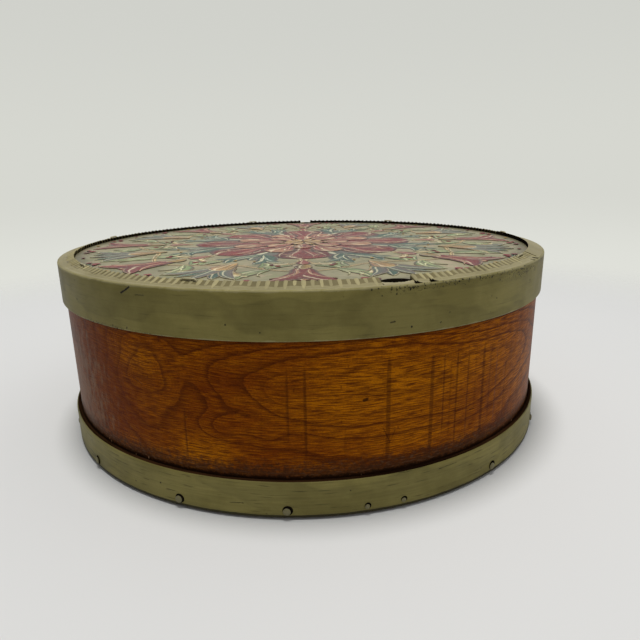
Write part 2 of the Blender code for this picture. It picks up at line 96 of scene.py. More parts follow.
class Sheet:
    """Adds nodes to one node tree and links them, so that a finish reads as a recipe."""

    def __init__(self, tree: bpy.types.NodeTree) -> None:
        """Start on a tree.

        Args:
            tree: The node tree to add to.
        """
        self.tree = tree

    def add(self, kind: str, **settings: object) -> bpy.types.Node:
        """Add one node.

        Args:
            kind: Blender's name for the node's type.
            settings: Properties to set on it.

        Returns:
            The node.
        """
        node = self.tree.nodes.new(kind)
        for name, value in settings.items():
            setattr(node, name, value)
        return node

    def feed(self, socket: Socket, value: Input) -> None:
        """Link a socket to another, or set its own value.

        Args:
            socket: The input to fill.
            value: An output socket, a number or a tuple.
        """
        if isinstance(value, bpy.types.NodeSocket):
            self.tree.links.new(value, socket)
        elif socket.type == "RGBA":
            socket.default_value = (*value[:3], 1.0)
        else:
            socket.default_value = value

    def math(self, operation: str, *values: Input, clamp: bool = False) -> Socket:
        """Add a Math node.

        Args:
            operation: Blender's name for the sum.
            values: Its inputs, in order.
            clamp: Whether to hold the result between 0 and 1.

        Returns:
            The result.
        """
        node = self.add("ShaderNodeMath", operation=operation, use_clamp=clamp)
        for socket, value in zip(node.inputs, values):
            self.feed(socket, value)
        return node.outputs[0]

    def vector(self, operation: str, *values: Input) -> Socket:
        """Add a Vector Math node.

        Args:
            operation: Blender's name for the sum.
            values: Its vector inputs, in order.

        Returns:
            The result, a number for a length, distance or dot product.
        """
        node = self.add("ShaderNodeVectorMath", operation=operation)
        inputs = [node.inputs[0], node.inputs[3]] if operation == "SCALE" else node.inputs
        for socket, value in zip(inputs, values):
            self.feed(socket, value)
        scalar = operation in ("LENGTH", "DISTANCE", "DOT_PRODUCT")
        return node.outputs["Value" if scalar else "Vector"]

    def split(self, vector: Input) -> tuple[Socket, Socket, Socket]:
        """Return a vector's three parts."""
        node = self.add("ShaderNodeSeparateXYZ")
        self.feed(node.inputs[0], vector)
        return tuple(node.outputs)

    def join(self, x: Input, y: Input, z: Input = 0.0) -> Socket:
        """Return a vector made of three parts."""
        node = self.add("ShaderNodeCombineXYZ")
        for socket, value in zip(node.inputs, (x, y, z)):
            self.feed(socket, value)
        return node.outputs[0]

    def noise(self, place: Input, scale: float, detail: float = 2.0, rough: float = 0.5,
              warp: float = 0.0) -> Socket:
        """Add a Noise texture.

        Args:
            place: Where to read it, in metres.
            scale: Lumps to a metre.
            detail: Octaves.
            rough: Weight of the finer octaves.
            warp: How far it is distorted.

        Returns:
            Its level, 0 to 1.
        """
        node = self.add("ShaderNodeTexNoise")
        for name, value in zip(("Vector", "Scale", "Detail", "Roughness", "Distortion"),
                               (place, scale, detail, rough, warp)):
            self.feed(node.inputs[name], value)
        return node.outputs[0]

    def streaks(self, place: Input, along: float, across: float, detail: float = 3.0) -> Socket:
        """Return noise drawn out along the first axis.

        Args:
            place: Where to read it, in metres.
            along: Lumps to a metre along the grain.
            across: Lumps to a metre across it.
            detail: Octaves.

        Returns:
            Its level, 0 to 1.
        """
        return self.noise(self.vector("MULTIPLY", place, (along, across, across)), 1.0, detail)

    def ease(self, value: Input, low: Input, high: Input) -> Socket:
        """Return 0 at low and 1 at high, with a soft rise between them."""
        node = self.add("ShaderNodeMapRange", interpolation_type="SMOOTHSTEP")
        for name, part in zip(("Value", "From Min", "From Max"), (value, low, high)):
            self.feed(node.inputs[name], part)
        return node.outputs[0]

    def span(self, value: Input, low: float, high: float) -> Socket:
        """Return a level from 0 to 1 stretched to run from low to high."""
        return self.math("MULTIPLY_ADD", value, high - low, low)

    def mix(self, share: Input, first: Input, second: Input, way: str = "MIX") -> Socket:
        """Mix two colours.

        Args:
            share: How much of the second to take, 0 to 1.
            first: The first colour.
            second: The second colour.
            way: Blender's name for the way to mix.

        Returns:
            The mixed colour.
        """
        node = self.add("ShaderNodeMix", data_type="RGBA", blend_type=way)
        for index, value in ((0, share), (6, first), (7, second)):
            self.feed(node.inputs[index], value)
        return node.outputs[2]

    def tinted(self, colour: Input, level: Input) -> Socket:
        """Return a colour made lighter or darker by a level around 1."""
        return self.vector("SCALE", colour, level)

    def specks(self, place: Input, scale: float, size: float, share: float = 1.0) -> Socket:
        """Return scattered round specks, 1 in the middle of each.

        Args:
            place: Where to read them, in metres.
            scale: Cells to a metre.
            size: A speck's radius as a share of its cell.
            share: How many cells have one, 0 to 1.

        Returns:
            The level.
        """
        node = self.add("ShaderNodeTexVoronoi")
        self.feed(node.inputs["Vector"], place)
        self.feed(node.inputs["Scale"], scale)
        near = self.ease(node.outputs["Distance"], size, size * 0.4)
        chosen = self.math("LESS_THAN", self.split(node.outputs["Color"])[0], share)
        return self.math("MULTIPLY", near, chosen)

    def marks(self, place: Input, marks: Iterable["Mark"]) -> Socket:
        """Return the level of a list of dents, pits and cracks.

        Args:
            place: Where to read it on the strip, in metres.
            marks: The marks to draw.

        Returns:
            The level, 1 inside a mark.
        """
        total: Input = 0.0
        for mark in marks:
            start, end = Vector((*mark.start, 0.0)), Vector((*mark.end, 0.0))
            run = end - start
            if run.length < 0.1 * MM:
                away = self.vector("DISTANCE", place, tuple(start))
            else:
                ahead = self.vector("SUBTRACT", place, tuple(start))
                share = self.math("ADD", self.vector("DOT_PRODUCT", ahead, tuple(run / run.length_squared)),
                                  0.0, clamp=True)
                away = self.vector("DISTANCE", ahead, self.vector("SCALE", tuple(run), share))
            near = self.ease(away, mark.radius, mark.radius * 0.35)
            total = self.math("MAXIMUM", total, self.math("MULTIPLY", near, mark.depth))
        return total if isinstance(total, bpy.types.NodeSocket) else self.math("ADD", total, 0.0)

    def swell(self, place: Socket, figure: "Figure") -> Socket:
        """Return the level of one swell on a strip, 1 in its middle."""
        away = self.vector("SUBTRACT", place, (*figure.centre, 0.0))
        away = self.vector("MULTIPLY", away, (1.0 / figure.reach[0], 1.0 / figure.reach[1], 0.0))
        return self.math("EXPONENT", self.math("MULTIPLY", self.vector("DOT_PRODUCT", away, away), -1.0))

    def bump(self, height: Input, distance: float, strength: float = 1.0,
             normal: Socket | None = None) -> Socket:
        """Return a normal bent by a height.

        Args:
            height: The height's level.
            distance: How high a level of 1 stands, in metres.
            strength: How much of the bend to keep.
            normal: A normal to bend further.

        Returns:
            The bent normal.
        """
        node = self.add("ShaderNodeBump")
        self.feed(node.inputs["Strength"], strength)
        self.feed(node.inputs["Distance"], distance)
        self.feed(node.inputs["Height"], height)
        if normal is not None:
            self.feed(node.inputs["Normal"], normal)
        return node.outputs[0]

    def place_on_object(self) -> Socket:
        """Return the place on the object, in metres."""
        return self.add("ShaderNodeTexCoord").outputs["Object"]

    def place_on_strip(self) -> Socket:
        """Return the place along and up a bent strip, in metres."""
        return self.add("ShaderNodeUVMap", uv_map=STRIP_MAP).outputs[0]

    def attribute(self, name: str) -> bpy.types.Node:
        """Return the node that reads an attribute of the mesh."""
        return self.add("ShaderNodeAttribute", attribute_type="GEOMETRY", attribute_name=name)


STRIP_MAP = "strip"


class Coat(Sheet):
    """A new material with a Principled shader, and the sheet that fills it."""

    def __init__(self, name: str, tint: Colour, **constants: float) -> None:
        """Make the material.

        Args:
            name: The material's name.
            tint: Plain colour for previews.
            constants: Values set on the shader's own sockets, by socket name with _ for a space.
        """
        self.material = bpy.data.materials.new(name)
        self.material.use_nodes = True
        self.material.diffuse_color = (*tint, 1.0)
        super().__init__(self.material.node_tree)
        self.shader = self.tree.nodes["Principled BSDF"]
        for key, value in constants.items():
            self.shader.inputs[key.replace("_", " ")].default_value = value

    def finish(self, colour: Input, rough: Input, normal: Socket | None = None) -> bpy.types.Material:
        """Fill the shader's main sockets.

        Args:
            colour: Base colour.
            rough: Roughness.
            normal: Bent normal, if any.

        Returns:
            The material.
        """
        self.feed(self.shader.inputs["Base Color"], colour)
        self.feed(self.shader.inputs["Roughness"], rough)
        if normal is not None:
            self.feed(self.shader.inputs["Normal"], normal)
        return self.material


class TreeInput:
    """A named input of a Geometry Nodes tree, with the value that this script gives it."""

    def __init__(self, socket: bpy.types.NodeTreeInterfaceSocket, value: object) -> None:
        """Keep the socket's identifier and its value.

        Args:
            socket: The tree's interface socket.
            value: The value to set on the modifier.
        """
        self.identifier = socket.identifier
        self.value = value


class Grower(Sheet):
    """A Geometry Nodes tree that grows repeated pieces on a start mesh."""

    KINDS = {float: "NodeSocketFloat", int: "NodeSocketInt", bpy.types.Object: "NodeSocketObject",
             bpy.types.Material: "NodeSocketMaterial"}

    def __init__(self, name: str) -> None:
        """Make an empty tree.

        Args:
            name: The tree's name.
        """
        super().__init__(bpy.data.node_groups.new(name, "GeometryNodeTree"))
        self.tree.interface.new_socket("Geometry", in_out="INPUT", socket_type="NodeSocketGeometry")
        self.tree.interface.new_socket("Geometry", in_out="OUTPUT", socket_type="NodeSocketGeometry")
        self.start = self.add("NodeGroupInput")
        self.end = self.add("NodeGroupOutput")
        self.values: list[TreeInput] = []

    def ask(self, name: str, value: object) -> Socket:
        """Add a named input.

        Args:
            name: The input's name.
            value: The value that the modifier gets.

        Returns:
            The socket that carries it inside the tree.
        """
        kind = next(k for t, k in self.KINDS.items() if isinstance(value, t))
        self.values.append(TreeInput(self.tree.interface.new_socket(name, in_out="INPUT", socket_type=kind), value))
        return self.start.outputs[name]

    def step(self, kind: str, inputs: dict[str, Input], **settings: object) -> bpy.types.Node:
        """Add a node and feed its inputs by name.

        Args:
            kind: Blender's name for the node's type.
            inputs: Values and links by input name.
            settings: Properties to set on it.

        Returns:
            The node.
        """
        node = self.add(kind, **settings)
        for name, value in inputs.items():
            self.feed(node.inputs[name], value)
        return node

    def named(self, name: str) -> Socket:
        """Return a number stored on the start mesh under this name."""
        return self.step("GeometryNodeInputNamedAttribute", {"Name": name}, data_type="FLOAT").outputs[0]

    def chance(self, low: tuple[float, ...], high: tuple[float, ...], seed: Input) -> Socket:
        """Return a random vector for each point."""
        node = self.add("FunctionNodeRandomValue", data_type="FLOAT_VECTOR")
        self.feed(node.inputs[0], low)
        self.feed(node.inputs[1], high)
        self.feed(node.inputs["Seed"], seed)
        return node.outputs[0]

    def chance_level(self, low: float, high: float, seed: Input) -> Socket:
        """Return a random number for each point."""
        node = self.add("FunctionNodeRandomValue", data_type="FLOAT")
        self.feed(node.inputs[2], low)
        self.feed(node.inputs[3], high)
        self.feed(node.inputs["Seed"], seed)
        return node.outputs[1]

    def turned(self, angles: Input) -> Socket:
        """Return a rotation from three angles."""
        return self.step("FunctionNodeEulerToRotation", {"Euler": angles}).outputs[0]

    def close(self, geometry: Socket, dressing: Sequence[tuple[Input, Socket]]) -> None:
        """End the tree: make the copies real and give them their materials.

        Args:
            geometry: What has grown.
            dressing: Pairs of selection and material, in the order they are laid on.
        """
        geometry = self.step("GeometryNodeRealizeInstances", {"Geometry": geometry}).outputs[0]
        for chosen, material in dressing:
            geometry = self.step("GeometryNodeSetMaterial", {
                "Geometry": geometry, "Selection": chosen, "Material": material}).outputs[0]
        self.tree.links.new(geometry, self.end.inputs[0])

    def grow(self, name: str, seedbed: bpy.types.Object) -> bpy.types.Object:
        """Run the tree on a start mesh and return a plain mesh object.

        Args:
            name: The new object's name.
            seedbed: The object to grow on, which is removed.

        Returns:
            The plain mesh object.
        """
        modifier = seedbed.modifiers.new("grow", "NODES")
        modifier.node_group = self.tree
        for asked in self.values:
            modifier[asked.identifier] = asked.value
        bpy.context.view_layer.update()
        graph = bpy.context.evaluated_depsgraph_get()
        mesh = bpy.data.meshes.new_from_object(seedbed.evaluated_get(graph))
        seedbed.modifiers.remove(modifier)
        bpy.data.objects.remove(seedbed, do_unlink=True)
        return placed(name, mesh)


# Finishes


@dataclass(frozen=True)
class Mark:
    """A dent, pit, crack or knot on a bent strip.

    Attributes:
        start: Place of one end along and up the strip.
        end: Place of the other end.
        radius: Half its width.
        depth: How strong it is, 0 to 1.
    """

    start: Point
    end: Point
    radius: float
    depth: float = 1.0


def round_the_box(radius: float, degrees: float, height: float) -> Point:
    """Return the place along and up a strip of this radius.

    Args:
        radius: The strip's outer radius.
        degrees: Angle round the box.
        height: Height in millimetres.

    Returns:
        The place in metres, counted from the front.
    """
    return radius * math.radians(degrees + 90.0), height * MM


def pit(radius: float, degrees: float, height: float, size: float, depth: float = 1.0) -> Mark:
    """Return a round mark of this half width in millimetres."""
    place = round_the_box(radius, degrees, height)
    return Mark(place, place, size * MM, depth)


def scratch(radius: float, first: Point, last: Point, size: float, depth: float = 1.0) -> Mark:
    """Return a long mark between two places given in degrees and millimetres."""
    return Mark(round_the_box(radius, *first), round_the_box(radius, *last), size * MM, depth)


@dataclass(frozen=True)
class Figure:
    """A swell in the log's rings, which the saw shows as nested loops.

    Attributes:
        centre: Place along and up the strip.
        reach: Half length and half height of its outer loops.
        rings: How many rings it crosses.
    """

    centre: Point
    reach: Point
    rings: float


@dataclass(frozen=True)
class VarnishedWood:
    """Old varnished flat-sawn wood bent round the box."""

    figures: tuple[Figure, ...]
    glows_and_highlights: tuple[Figure, ...]
    marks: tuple[Mark, ...]
    foot: float
    brow: float
    haze_of_dust_and_sheen: Figure
    calm: Figure
    base: float = 1.20
    lean: float = 15.9
    gold: Colour = (0.480, 0.160, 0.0008)
    amber: Colour = (0.170, 0.034, 0.0002)
    brown: Colour = (0.062, 0.011, 0.0004)
    # Near-black brown: soiling, and painted shade at the hoop.
    dirt_and_shade: Colour = (0.036, 0.015, 0.006)
    # Pale grey-brown: dust, and the painted sheen on the left side of the wall.
    dust_and_sheen: Colour = (0.165, 0.092, 0.050)

    def material(self) -> bpy.types.Material:
        """Return the material, which reads the strip's own map."""
        coat = Coat("varnished_wood", self.amber, Specular_IOR_Level=0.0, Coat_Weight=0.46,
                    Coat_Roughness=0.28, Coat_IOR=1.15)
        strip = coat.place_on_strip()
        along, up, _ = coat.split(strip)
        drift = coat.noise(coat.vector("MULTIPLY", strip, (5.0, 17.0, 1.0)), 1.0, 2.0)
        wave = coat.noise(coat.vector("MULTIPLY", strip, (34.0, 80.0, 1.0)), 1.0, 3.0)
        thread = coat.streaks(strip, 90.0, 1250.0, 2.0)
        rings: Input = coat.math("ADD", coat.span(drift, -0.30, 0.30), coat.math("MULTIPLY_ADD", up, -self.lean, self.base))
        for figure in self.figures:
            rings = coat.math("MULTIPLY_ADD", coat.swell(strip, figure), figure.rings, rings)
        rings = coat.math("ADD", rings, coat.math("ADD", coat.span(wave, -0.30, 0.30), coat.span(thread, -0.12, 0.12)))
        faint = coat.span(coat.ease(rings, 3.3, 3.8), 1.0, 0.55)
        calm = coat.math("MULTIPLY", coat.swell(strip, self.calm), self.calm.rings, clamp=True)
        bold = coat.math("MULTIPLY", faint, coat.span(calm, 1.0, 0.40))
        late = coat.math("MULTIPLY", self.late_wood(coat, rings, 1.0), bold)
        fine = coat.math("MULTIPLY", self.late_wood(coat, rings, 6.0), coat.span(wave, -0.25, 1.10))
        late = coat.math("MAXIMUM", late, coat.math("MULTIPLY", fine, coat.span(calm, 0.62, 1.0)))
        bent = coat.join(along, coat.math("MULTIPLY_ADD", rings, 0.0011, up))
        fibre = coat.streaks(bent, 105.0, 1650.0, 4.0)
        ripple = coat.streaks(bent, 88.0, 1250.0, 1.0)
        pores = coat.ease(coat.streaks(bent, 190.0, 2100.0, 1.0), 0.62, 0.72)
        cloud = coat.noise(coat.vector("MULTIPLY", strip, (10.0, 26.0, 1.0)), 1.0, 4.0)
        # Golden swells: the wood's own tone, partly a painted highlight on the front and right of the wall.
        glow_and_highlight: Input = coat.span(cloud, -0.45, 0.72)
        for figure in self.glows_and_highlights:
            glow_and_highlight = coat.math("MULTIPLY_ADD", coat.swell(strip, figure), figure.rings, glow_and_highlight)
        glow_and_highlight = coat.math("ADD", glow_and_highlight, 0.0, clamp=True)
        wood = coat.mix(glow_and_highlight, self.amber, self.gold)
        wood = coat.mix(coat.math("MULTIPLY", coat.ease(fibre, 0.48, 0.58), 0.62), wood, self.brown)
        wood = coat.mix(coat.math("MULTIPLY", coat.ease(ripple, 0.48, 0.38), coat.span(glow_and_highlight, 0.25, 0.80)), wood, self.brown)
        wood = coat.mix(coat.math("MULTIPLY", coat.ease(ripple, 0.52, 0.62), coat.span(glow_and_highlight, 0.12, 0.85)), wood, self.gold)
        wood = coat.mix(coat.math("MULTIPLY", late, coat.math("MULTIPLY", coat.span(cloud, 0.70, 1.05), coat.span(thread, 0.35, 1.35))), wood, self.brown)
        wood = coat.mix(coat.math("MULTIPLY", pores, 0.55), wood, self.brown)
        grain = coat.noise(coat.vector("MULTIPLY", bent, (900.0, 1900.0, 1.0)), 1.0, 2.0, 0.7)
        wood = coat.tinted(wood, coat.span(grain, 0.25, 1.85))
        rough_place = coat.vector("ADD", strip, coat.join(0.0, coat.span(fibre, -0.0006, 0.0006)))
        marked = coat.marks(rough_place, self.marks)
        split = coat.math("MULTIPLY", coat.ease(coat.attribute("score").outputs["Fac"], 0.0, 0.60), coat.span(thread, 0.50, 1.05))
        # Painted shadow of the band's overhang: the wall darkens just below the band's foot, added to the cracks.
        band_shadow_line = coat.math("MULTIPLY_ADD", coat.math("SUBTRACT", wave, 0.5), 0.003, up)
        band_shadow = coat.math("MULTIPLY", coat.ease(band_shadow_line, self.brow - 0.0032, self.brow - 0.0006),
                         coat.span(coat.ease(band_shadow_line, self.brow + 0.0010, self.brow + 0.0060), 1.0, 0.25))
        split = coat.math("MAXIMUM", split, band_shadow)
        wood = coat.mix(coat.math("MULTIPLY", split, 0.64), wood, tuple(c * 0.6 for c in self.brown))
        wood = coat.mix(coat.math("MULTIPLY", marked, 0.85), wood, tuple(c * 0.35 for c in self.brown))
        grit = coat.noise(strip, 330.0, 5.0, 0.75)
        smear = coat.noise(coat.vector("MULTIPLY", strip, (210.0, 85.0, 1.0)), 1.0, 5.0, 0.75)
        # Grey haze: dust, partly a painted sheen on the left side of the wall.
        dust_and_sheen_haze = coat.math("MULTIPLY_ADD", coat.math("SUBTRACT", smear, 0.5), 2.6, coat.swell(strip, self.haze_of_dust_and_sheen))
        dust_and_sheen_haze = coat.math("MULTIPLY", coat.ease(dust_and_sheen_haze, 0.48, 1.05), self.haze_of_dust_and_sheen.rings)
        wood = coat.mix(dust_and_sheen_haze, wood, tuple(1.25 * c for c in self.dust_and_sheen))
        # Darker towards the hoop: soiling, partly painted shade in the corner; the darkest line at the hoop is painted
        # shade of the gap.
        low = coat.math("MULTIPLY_ADD", coat.math("SUBTRACT", grit, 0.5), 0.034, up)
        grime_and_shade = coat.ease(low, self.foot + 0.0140, self.foot + 0.0022)
        gap_shade = coat.ease(coat.math("MULTIPLY_ADD", coat.math("SUBTRACT", grit, 0.5), 0.008, up), self.foot + 0.0028, self.foot + 0.0008)
        wood = coat.mix(coat.math("MULTIPLY", grime_and_shade, 0.80), wood, self.dirt_and_shade)
        lees = coat.math("MULTIPLY", coat.ease(coat.streaks(strip, 240.0, 800.0, 3.0), 0.50, 0.68), coat.ease(low, self.foot + 0.0140, self.foot + 0.0040))
        wood = coat.mix(coat.math("MULTIPLY", lees, coat.span(drift, -0.30, 1.10), clamp=True), wood, tuple(c * 0.8 for c in self.dust_and_sheen))
        wood = coat.mix(coat.math("MULTIPLY", gap_shade, 0.88), wood, tuple(c * 0.3 for c in self.dirt_and_shade))
        lint = coat.specks(coat.vector("MULTIPLY", strip, (1.0, 0.45, 1.0)), 420.0, 0.26, 0.20)
        lint = coat.math("MULTIPLY", lint, coat.ease(up, self.foot + 0.0035, self.foot + 0.0010))
        wood = coat.mix(coat.math("MULTIPLY", lint, 0.8), wood, tuple(2.6 * c for c in self.dust_and_sheen))
        flecks = coat.specks(coat.vector("MULTIPLY", strip, (1.0, 0.6, 1.0)), 260.0, 0.22, 0.10)
        wood = coat.mix(coat.math("MULTIPLY", flecks, 0.55), wood, self.brown)
        rough = coat.math("ADD", coat.span(coat.noise(strip, 60.0, 3.0), 0.38, 0.60), coat.math("MULTIPLY", grime_and_shade, 0.25))
        height = coat.math("ADD", coat.math("MULTIPLY", fibre, 0.5), coat.math("MULTIPLY", marked, -2.0))
        normal = coat.bump(height, 0.00010)
        skin = coat.math("MULTIPLY_ADD", marked, -1.5, coat.noise(strip, 190.0, 3.0))
        skin = coat.math("MULTIPLY_ADD", ripple, 0.45, skin)
        coat.feed(coat.shader.inputs["Coat Normal"], coat.bump(skin, 0.00030))
        return coat.finish(wood, rough, normal)

    @staticmethod
    def late_wood(coat: Coat, rings: Socket, density: float) -> Socket:
        """Return the dark late wood of the rings.

        Args:
            coat: The material being filled.
            rings: How many rings lie inside each point.
            density: Lines drawn to each ring.

        Returns:
            The level, 1 in the darkest line.
        """
        phase = coat.math("FRACT", coat.math("MULTIPLY_ADD", rings, density, 40.0))
        return coat.math("MULTIPLY", coat.ease(phase, 0.60, 0.95), coat.ease(phase, 1.0, 0.95))


class PaintPlace(Enum):
    """What a coat of paint is laid out on."""

    STRIP = "strip"
    SOLID = "solid"


@dataclass(frozen=True)
class OlivePaint:
    """Satin olive paint brushed on wood, lighter at the edges from wear and partly a painted highlight."""

    name: str
    laid_on: PaintPlace
    edges: tuple[float, ...] = ()
    marks: tuple[Mark, ...] = ()
    chipped: tuple[Figure, ...] = ()
    streaked: float = 0.06
    dashed: float = 0.20
    foot_shadow_top: float = -1.0
    olive: Colour = (0.208, 0.178, 0.053)
    shade: Colour = (0.163, 0.138, 0.038)
    worn_and_highlight: Colour = (0.330, 0.295, 0.160)
    # Dark colour of specks and tide lines, and of the painted contact shadow at the foot.
    dirt_and_shade: Colour = (0.011, 0.009, 0.005)

    def material(self) -> bpy.types.Material:
        """Return the material."""
        coat = Coat(self.name, self.olive, Specular_IOR_Level=0.15)
        on_strip = self.laid_on is PaintPlace.STRIP
        place = coat.place_on_strip() if on_strip else coat.place_on_object()
        cloud = coat.noise(place, 26.0, 4.0, 0.6)
        brushed = coat.streaks(place, 26.0, 620.0, 4.0) if on_strip else coat.noise(place, 380.0, 3.0)
        grain = coat.noise(place, 900.0, 3.0, 0.6)
        paint = coat.mix(coat.ease(cloud, 0.36, 0.62), self.shade, self.olive)
        paint = coat.tinted(paint, coat.span(brushed, 1.0 - 2.0 * self.streaked, 1.0 + 2.0 * self.streaked))
        paint = coat.tinted(paint, coat.span(grain, 0.90, 1.10))
        paint = coat.tinted(paint, coat.math("ADD", coat.attribute("tint").outputs["Fac"], 1.0))
        flaws_and_foot_shadow = coat.math("MULTIPLY", coat.specks(place, 150.0, 0.13, 0.10), coat.ease(cloud, 0.42, 0.60))
        height = coat.math("MULTIPLY", brushed, 0.35)
        if on_strip:
            up = coat.split(place)[1]
            torn = coat.noise(place, 75.0, 6.0, 0.72)
            # Lighter along the edges: wear, and partly a painted highlight on the rounded edges.
            for edge in self.edges:
                off = coat.math("ABSOLUTE", coat.math("SUBTRACT", up, edge))
                off = coat.math("MULTIPLY_ADD", coat.math("SUBTRACT", torn, 0.5), -0.0040, off)
                bare = coat.math("MULTIPLY", coat.ease(off, 0.0009, 0.0001), 0.45)
                paint = coat.mix(bare, paint, self.worn_and_highlight)
            tide = coat.noise(coat.vector("MULTIPLY", place, (9.0, 34.0, 1.0)), 1.0, 3.0)
            paint = coat.tinted(paint, coat.span(coat.ease(tide, 0.48, 0.52), 0.93, 1.07))
            rim = coat.math("MULTIPLY", coat.ease(tide, 0.47, 0.50), coat.ease(tide, 0.53, 0.50))
            dash = coat.math("MULTIPLY", coat.ease(coat.streaks(place, 48.0, 850.0, 2.0), 0.62, 0.70), self.dashed)
            paint = coat.mix(coat.math("ADD", dash, coat.math("MULTIPLY", rim, 0.10)), paint, self.dirt_and_shade)
            jog = coat.vector("SCALE", coat.vector("SUBTRACT", coat.join(torn, grain), (0.5, 0.5, 0.0)), 0.0016)
            flaws_and_foot_shadow = coat.math("MAXIMUM", flaws_and_foot_shadow, coat.marks(coat.vector("ADD", place, jog), self.marks))
            for figure in self.chipped:
                chips = coat.math("MULTIPLY_ADD", coat.swell(place, figure), 0.18, coat.noise(place, 640.0, 4.0, 0.7))
                flaws_and_foot_shadow = coat.math("MAXIMUM", flaws_and_foot_shadow, coat.ease(chips, 0.71, 0.75))
            # Painted contact shadow: a dark strip along the lower edge, where the floor meets it.
            foot_shadow = coat.ease(coat.math("MULTIPLY_ADD", coat.math("SUBTRACT", torn, 0.5), 0.0012, up), self.foot_shadow_top + 0.0003, self.foot_shadow_top)
            flaws_and_foot_shadow = coat.math("MAXIMUM", flaws_and_foot_shadow, coat.math("MULTIPLY", foot_shadow, 0.9))
        paint = coat.mix(coat.math("MULTIPLY", flaws_and_foot_shadow, 0.95), paint, self.dirt_and_shade)
        height = coat.math("ADD", height, coat.math("MULTIPLY", flaws_and_foot_shadow, -3.0))
        rough = coat.span(coat.noise(place, 75.0, 3.0), 0.42, 0.62)
        return coat.finish(paint, rough, coat.bump(height, 0.00012, 0.8))


class WoodAge(Enum):
    """How bare wood has aged: its light tone and its dark tone."""

    DRY = ((0.420, 0.270, 0.150), (0.240, 0.140, 0.070))
    STAINED = ((0.055, 0.025, 0.010), (0.014, 0.006, 0.003))
    # Near-black without sheen: dark wood, and painted shade for faces in deep shade and layers standing in for shade.
    DARK_AND_SHADED = ((0.016, 0.011, 0.007), (0.004, 0.003, 0.002))


@dataclass(frozen=True)
class BareWood:
    """Unpainted wood, as inside the box and on sawn edges."""

    name: str
    age: WoodAge
    laid_on: PaintPlace = PaintPlace.SOLID

    def material(self) -> bpy.types.Material:
        """Return the material."""
        light, dark = self.age.value
        coat = Coat(self.name, light, Specular_IOR_Level=0.25 if self.age is WoodAge.DRY else 0.0)
        place = coat.place_on_strip() if self.laid_on is PaintPlace.STRIP else coat.place_on_object()
        bend = coat.noise(place, 9.0, 2.0)
        along, across, depth = coat.split(place)
        bent = coat.join(along, coat.math("MULTIPLY_ADD", bend, 0.020, across), depth)
        broad = coat.streaks(bent, 5.0, 85.0, 3.0)
        fine = coat.streaks(bent, 42.0, 900.0, 4.0)
        wood = coat.mix(coat.ease(broad, 0.38, 0.62), light, dark)
        wood = coat.mix(coat.math("MULTIPLY", coat.ease(fine, 0.45, 0.66), 0.6), wood, dark)
        stain = coat.ease(coat.noise(place, 14.0, 4.0, 0.6), 0.52, 0.74)
        wood = coat.mix(coat.math("MULTIPLY", stain, 0.45), wood, tuple(c * 0.7 for c in dark))
        return coat.finish(wood, coat.span(fine, 0.66, 0.86), coat.bump(fine, 0.00012, 0.7))


@dataclass(frozen=True)
class PanelGround:
    """Grey-green ground of the painted panel, bare wood underneath."""

    top: float
    radius: float
    pale: Colour = screen(146, 139, 108)
    deep: Colour = screen(124, 119, 90)
    green: Colour = screen(118, 120, 82)
    blush: Colour = screen(172, 148, 124)
    murk: Colour = screen(92, 92, 64)
    dirt_and_shade: Colour = screen(72, 65, 44)
    wood: Colour = (0.330, 0.205, 0.110)
    knot: Colour = (0.180, 0.100, 0.050)

    def material(self) -> bpy.types.Material:
        """Return the material, which reads the place on the object."""
        coat = Coat("panel_ground", self.pale, Specular_IOR_Level=0.2)
        place = coat.place_on_object()
        cloud = coat.noise(place, 17.0, 4.0, 0.62)
        patch = coat.noise(coat.vector("ADD", place, (3.1, 1.7, 0.0)), 26.0, 3.0, 0.6)
        brushed = coat.streaks(coat.vector("ADD", place, coat.join(0.0, coat.span(cloud, -0.02, 0.02))), 22.0, 520.0, 4.0)
        ground = coat.mix(coat.ease(cloud, 0.34, 0.66), self.deep, self.pale)
        ground = coat.mix(coat.math("MULTIPLY", coat.ease(patch, 0.46, 0.68), 0.55), ground, self.green)
        ground = coat.tinted(ground, coat.span(brushed, 0.68, 1.32))
        wash = coat.noise(coat.vector("ADD", place, (0.4, 2.3, 0.0)), 62.0, 5.0, 0.7)
        ground = coat.mix(coat.math("MULTIPLY", coat.ease(wash, 0.52, 0.66), 0.45), ground, self.blush)
        ground = coat.mix(coat.math("MULTIPLY", coat.ease(wash, 0.46, 0.34), 0.50), ground, self.murk)
        flat = coat.vector("MULTIPLY", place, (1.0, 1.0, 0.0))
        reach = coat.math("ADD", coat.vector("LENGTH", flat), coat.span(patch, -0.006, 0.006))
        # Darker towards the rim.
        edge = coat.ease(reach, self.radius - 0.014, self.radius - 0.001)
        ground = coat.mix(coat.math("MULTIPLY", edge, 0.6), ground, self.dirt_and_shade)
        spots = coat.math("MULTIPLY", coat.specks(place, 170.0, 0.16, 0.16), coat.ease(patch, 0.40, 0.60))
        ground = coat.mix(coat.math("MULTIPLY", spots, 0.6), ground, self.dirt_and_shade)
        grain = coat.streaks(place, 20.0, 420.0, 4.0)
        wood = coat.mix(coat.ease(grain, 0.40, 0.66), self.wood, self.knot)
        painted = coat.math("GREATER_THAN", coat.split(place)[2], self.top - 0.2 * MM)
        colour = coat.mix(painted, wood, ground)
        return coat.finish(colour, coat.span(cloud, 0.40, 0.60), coat.bump(brushed, 0.00010, 0.7))


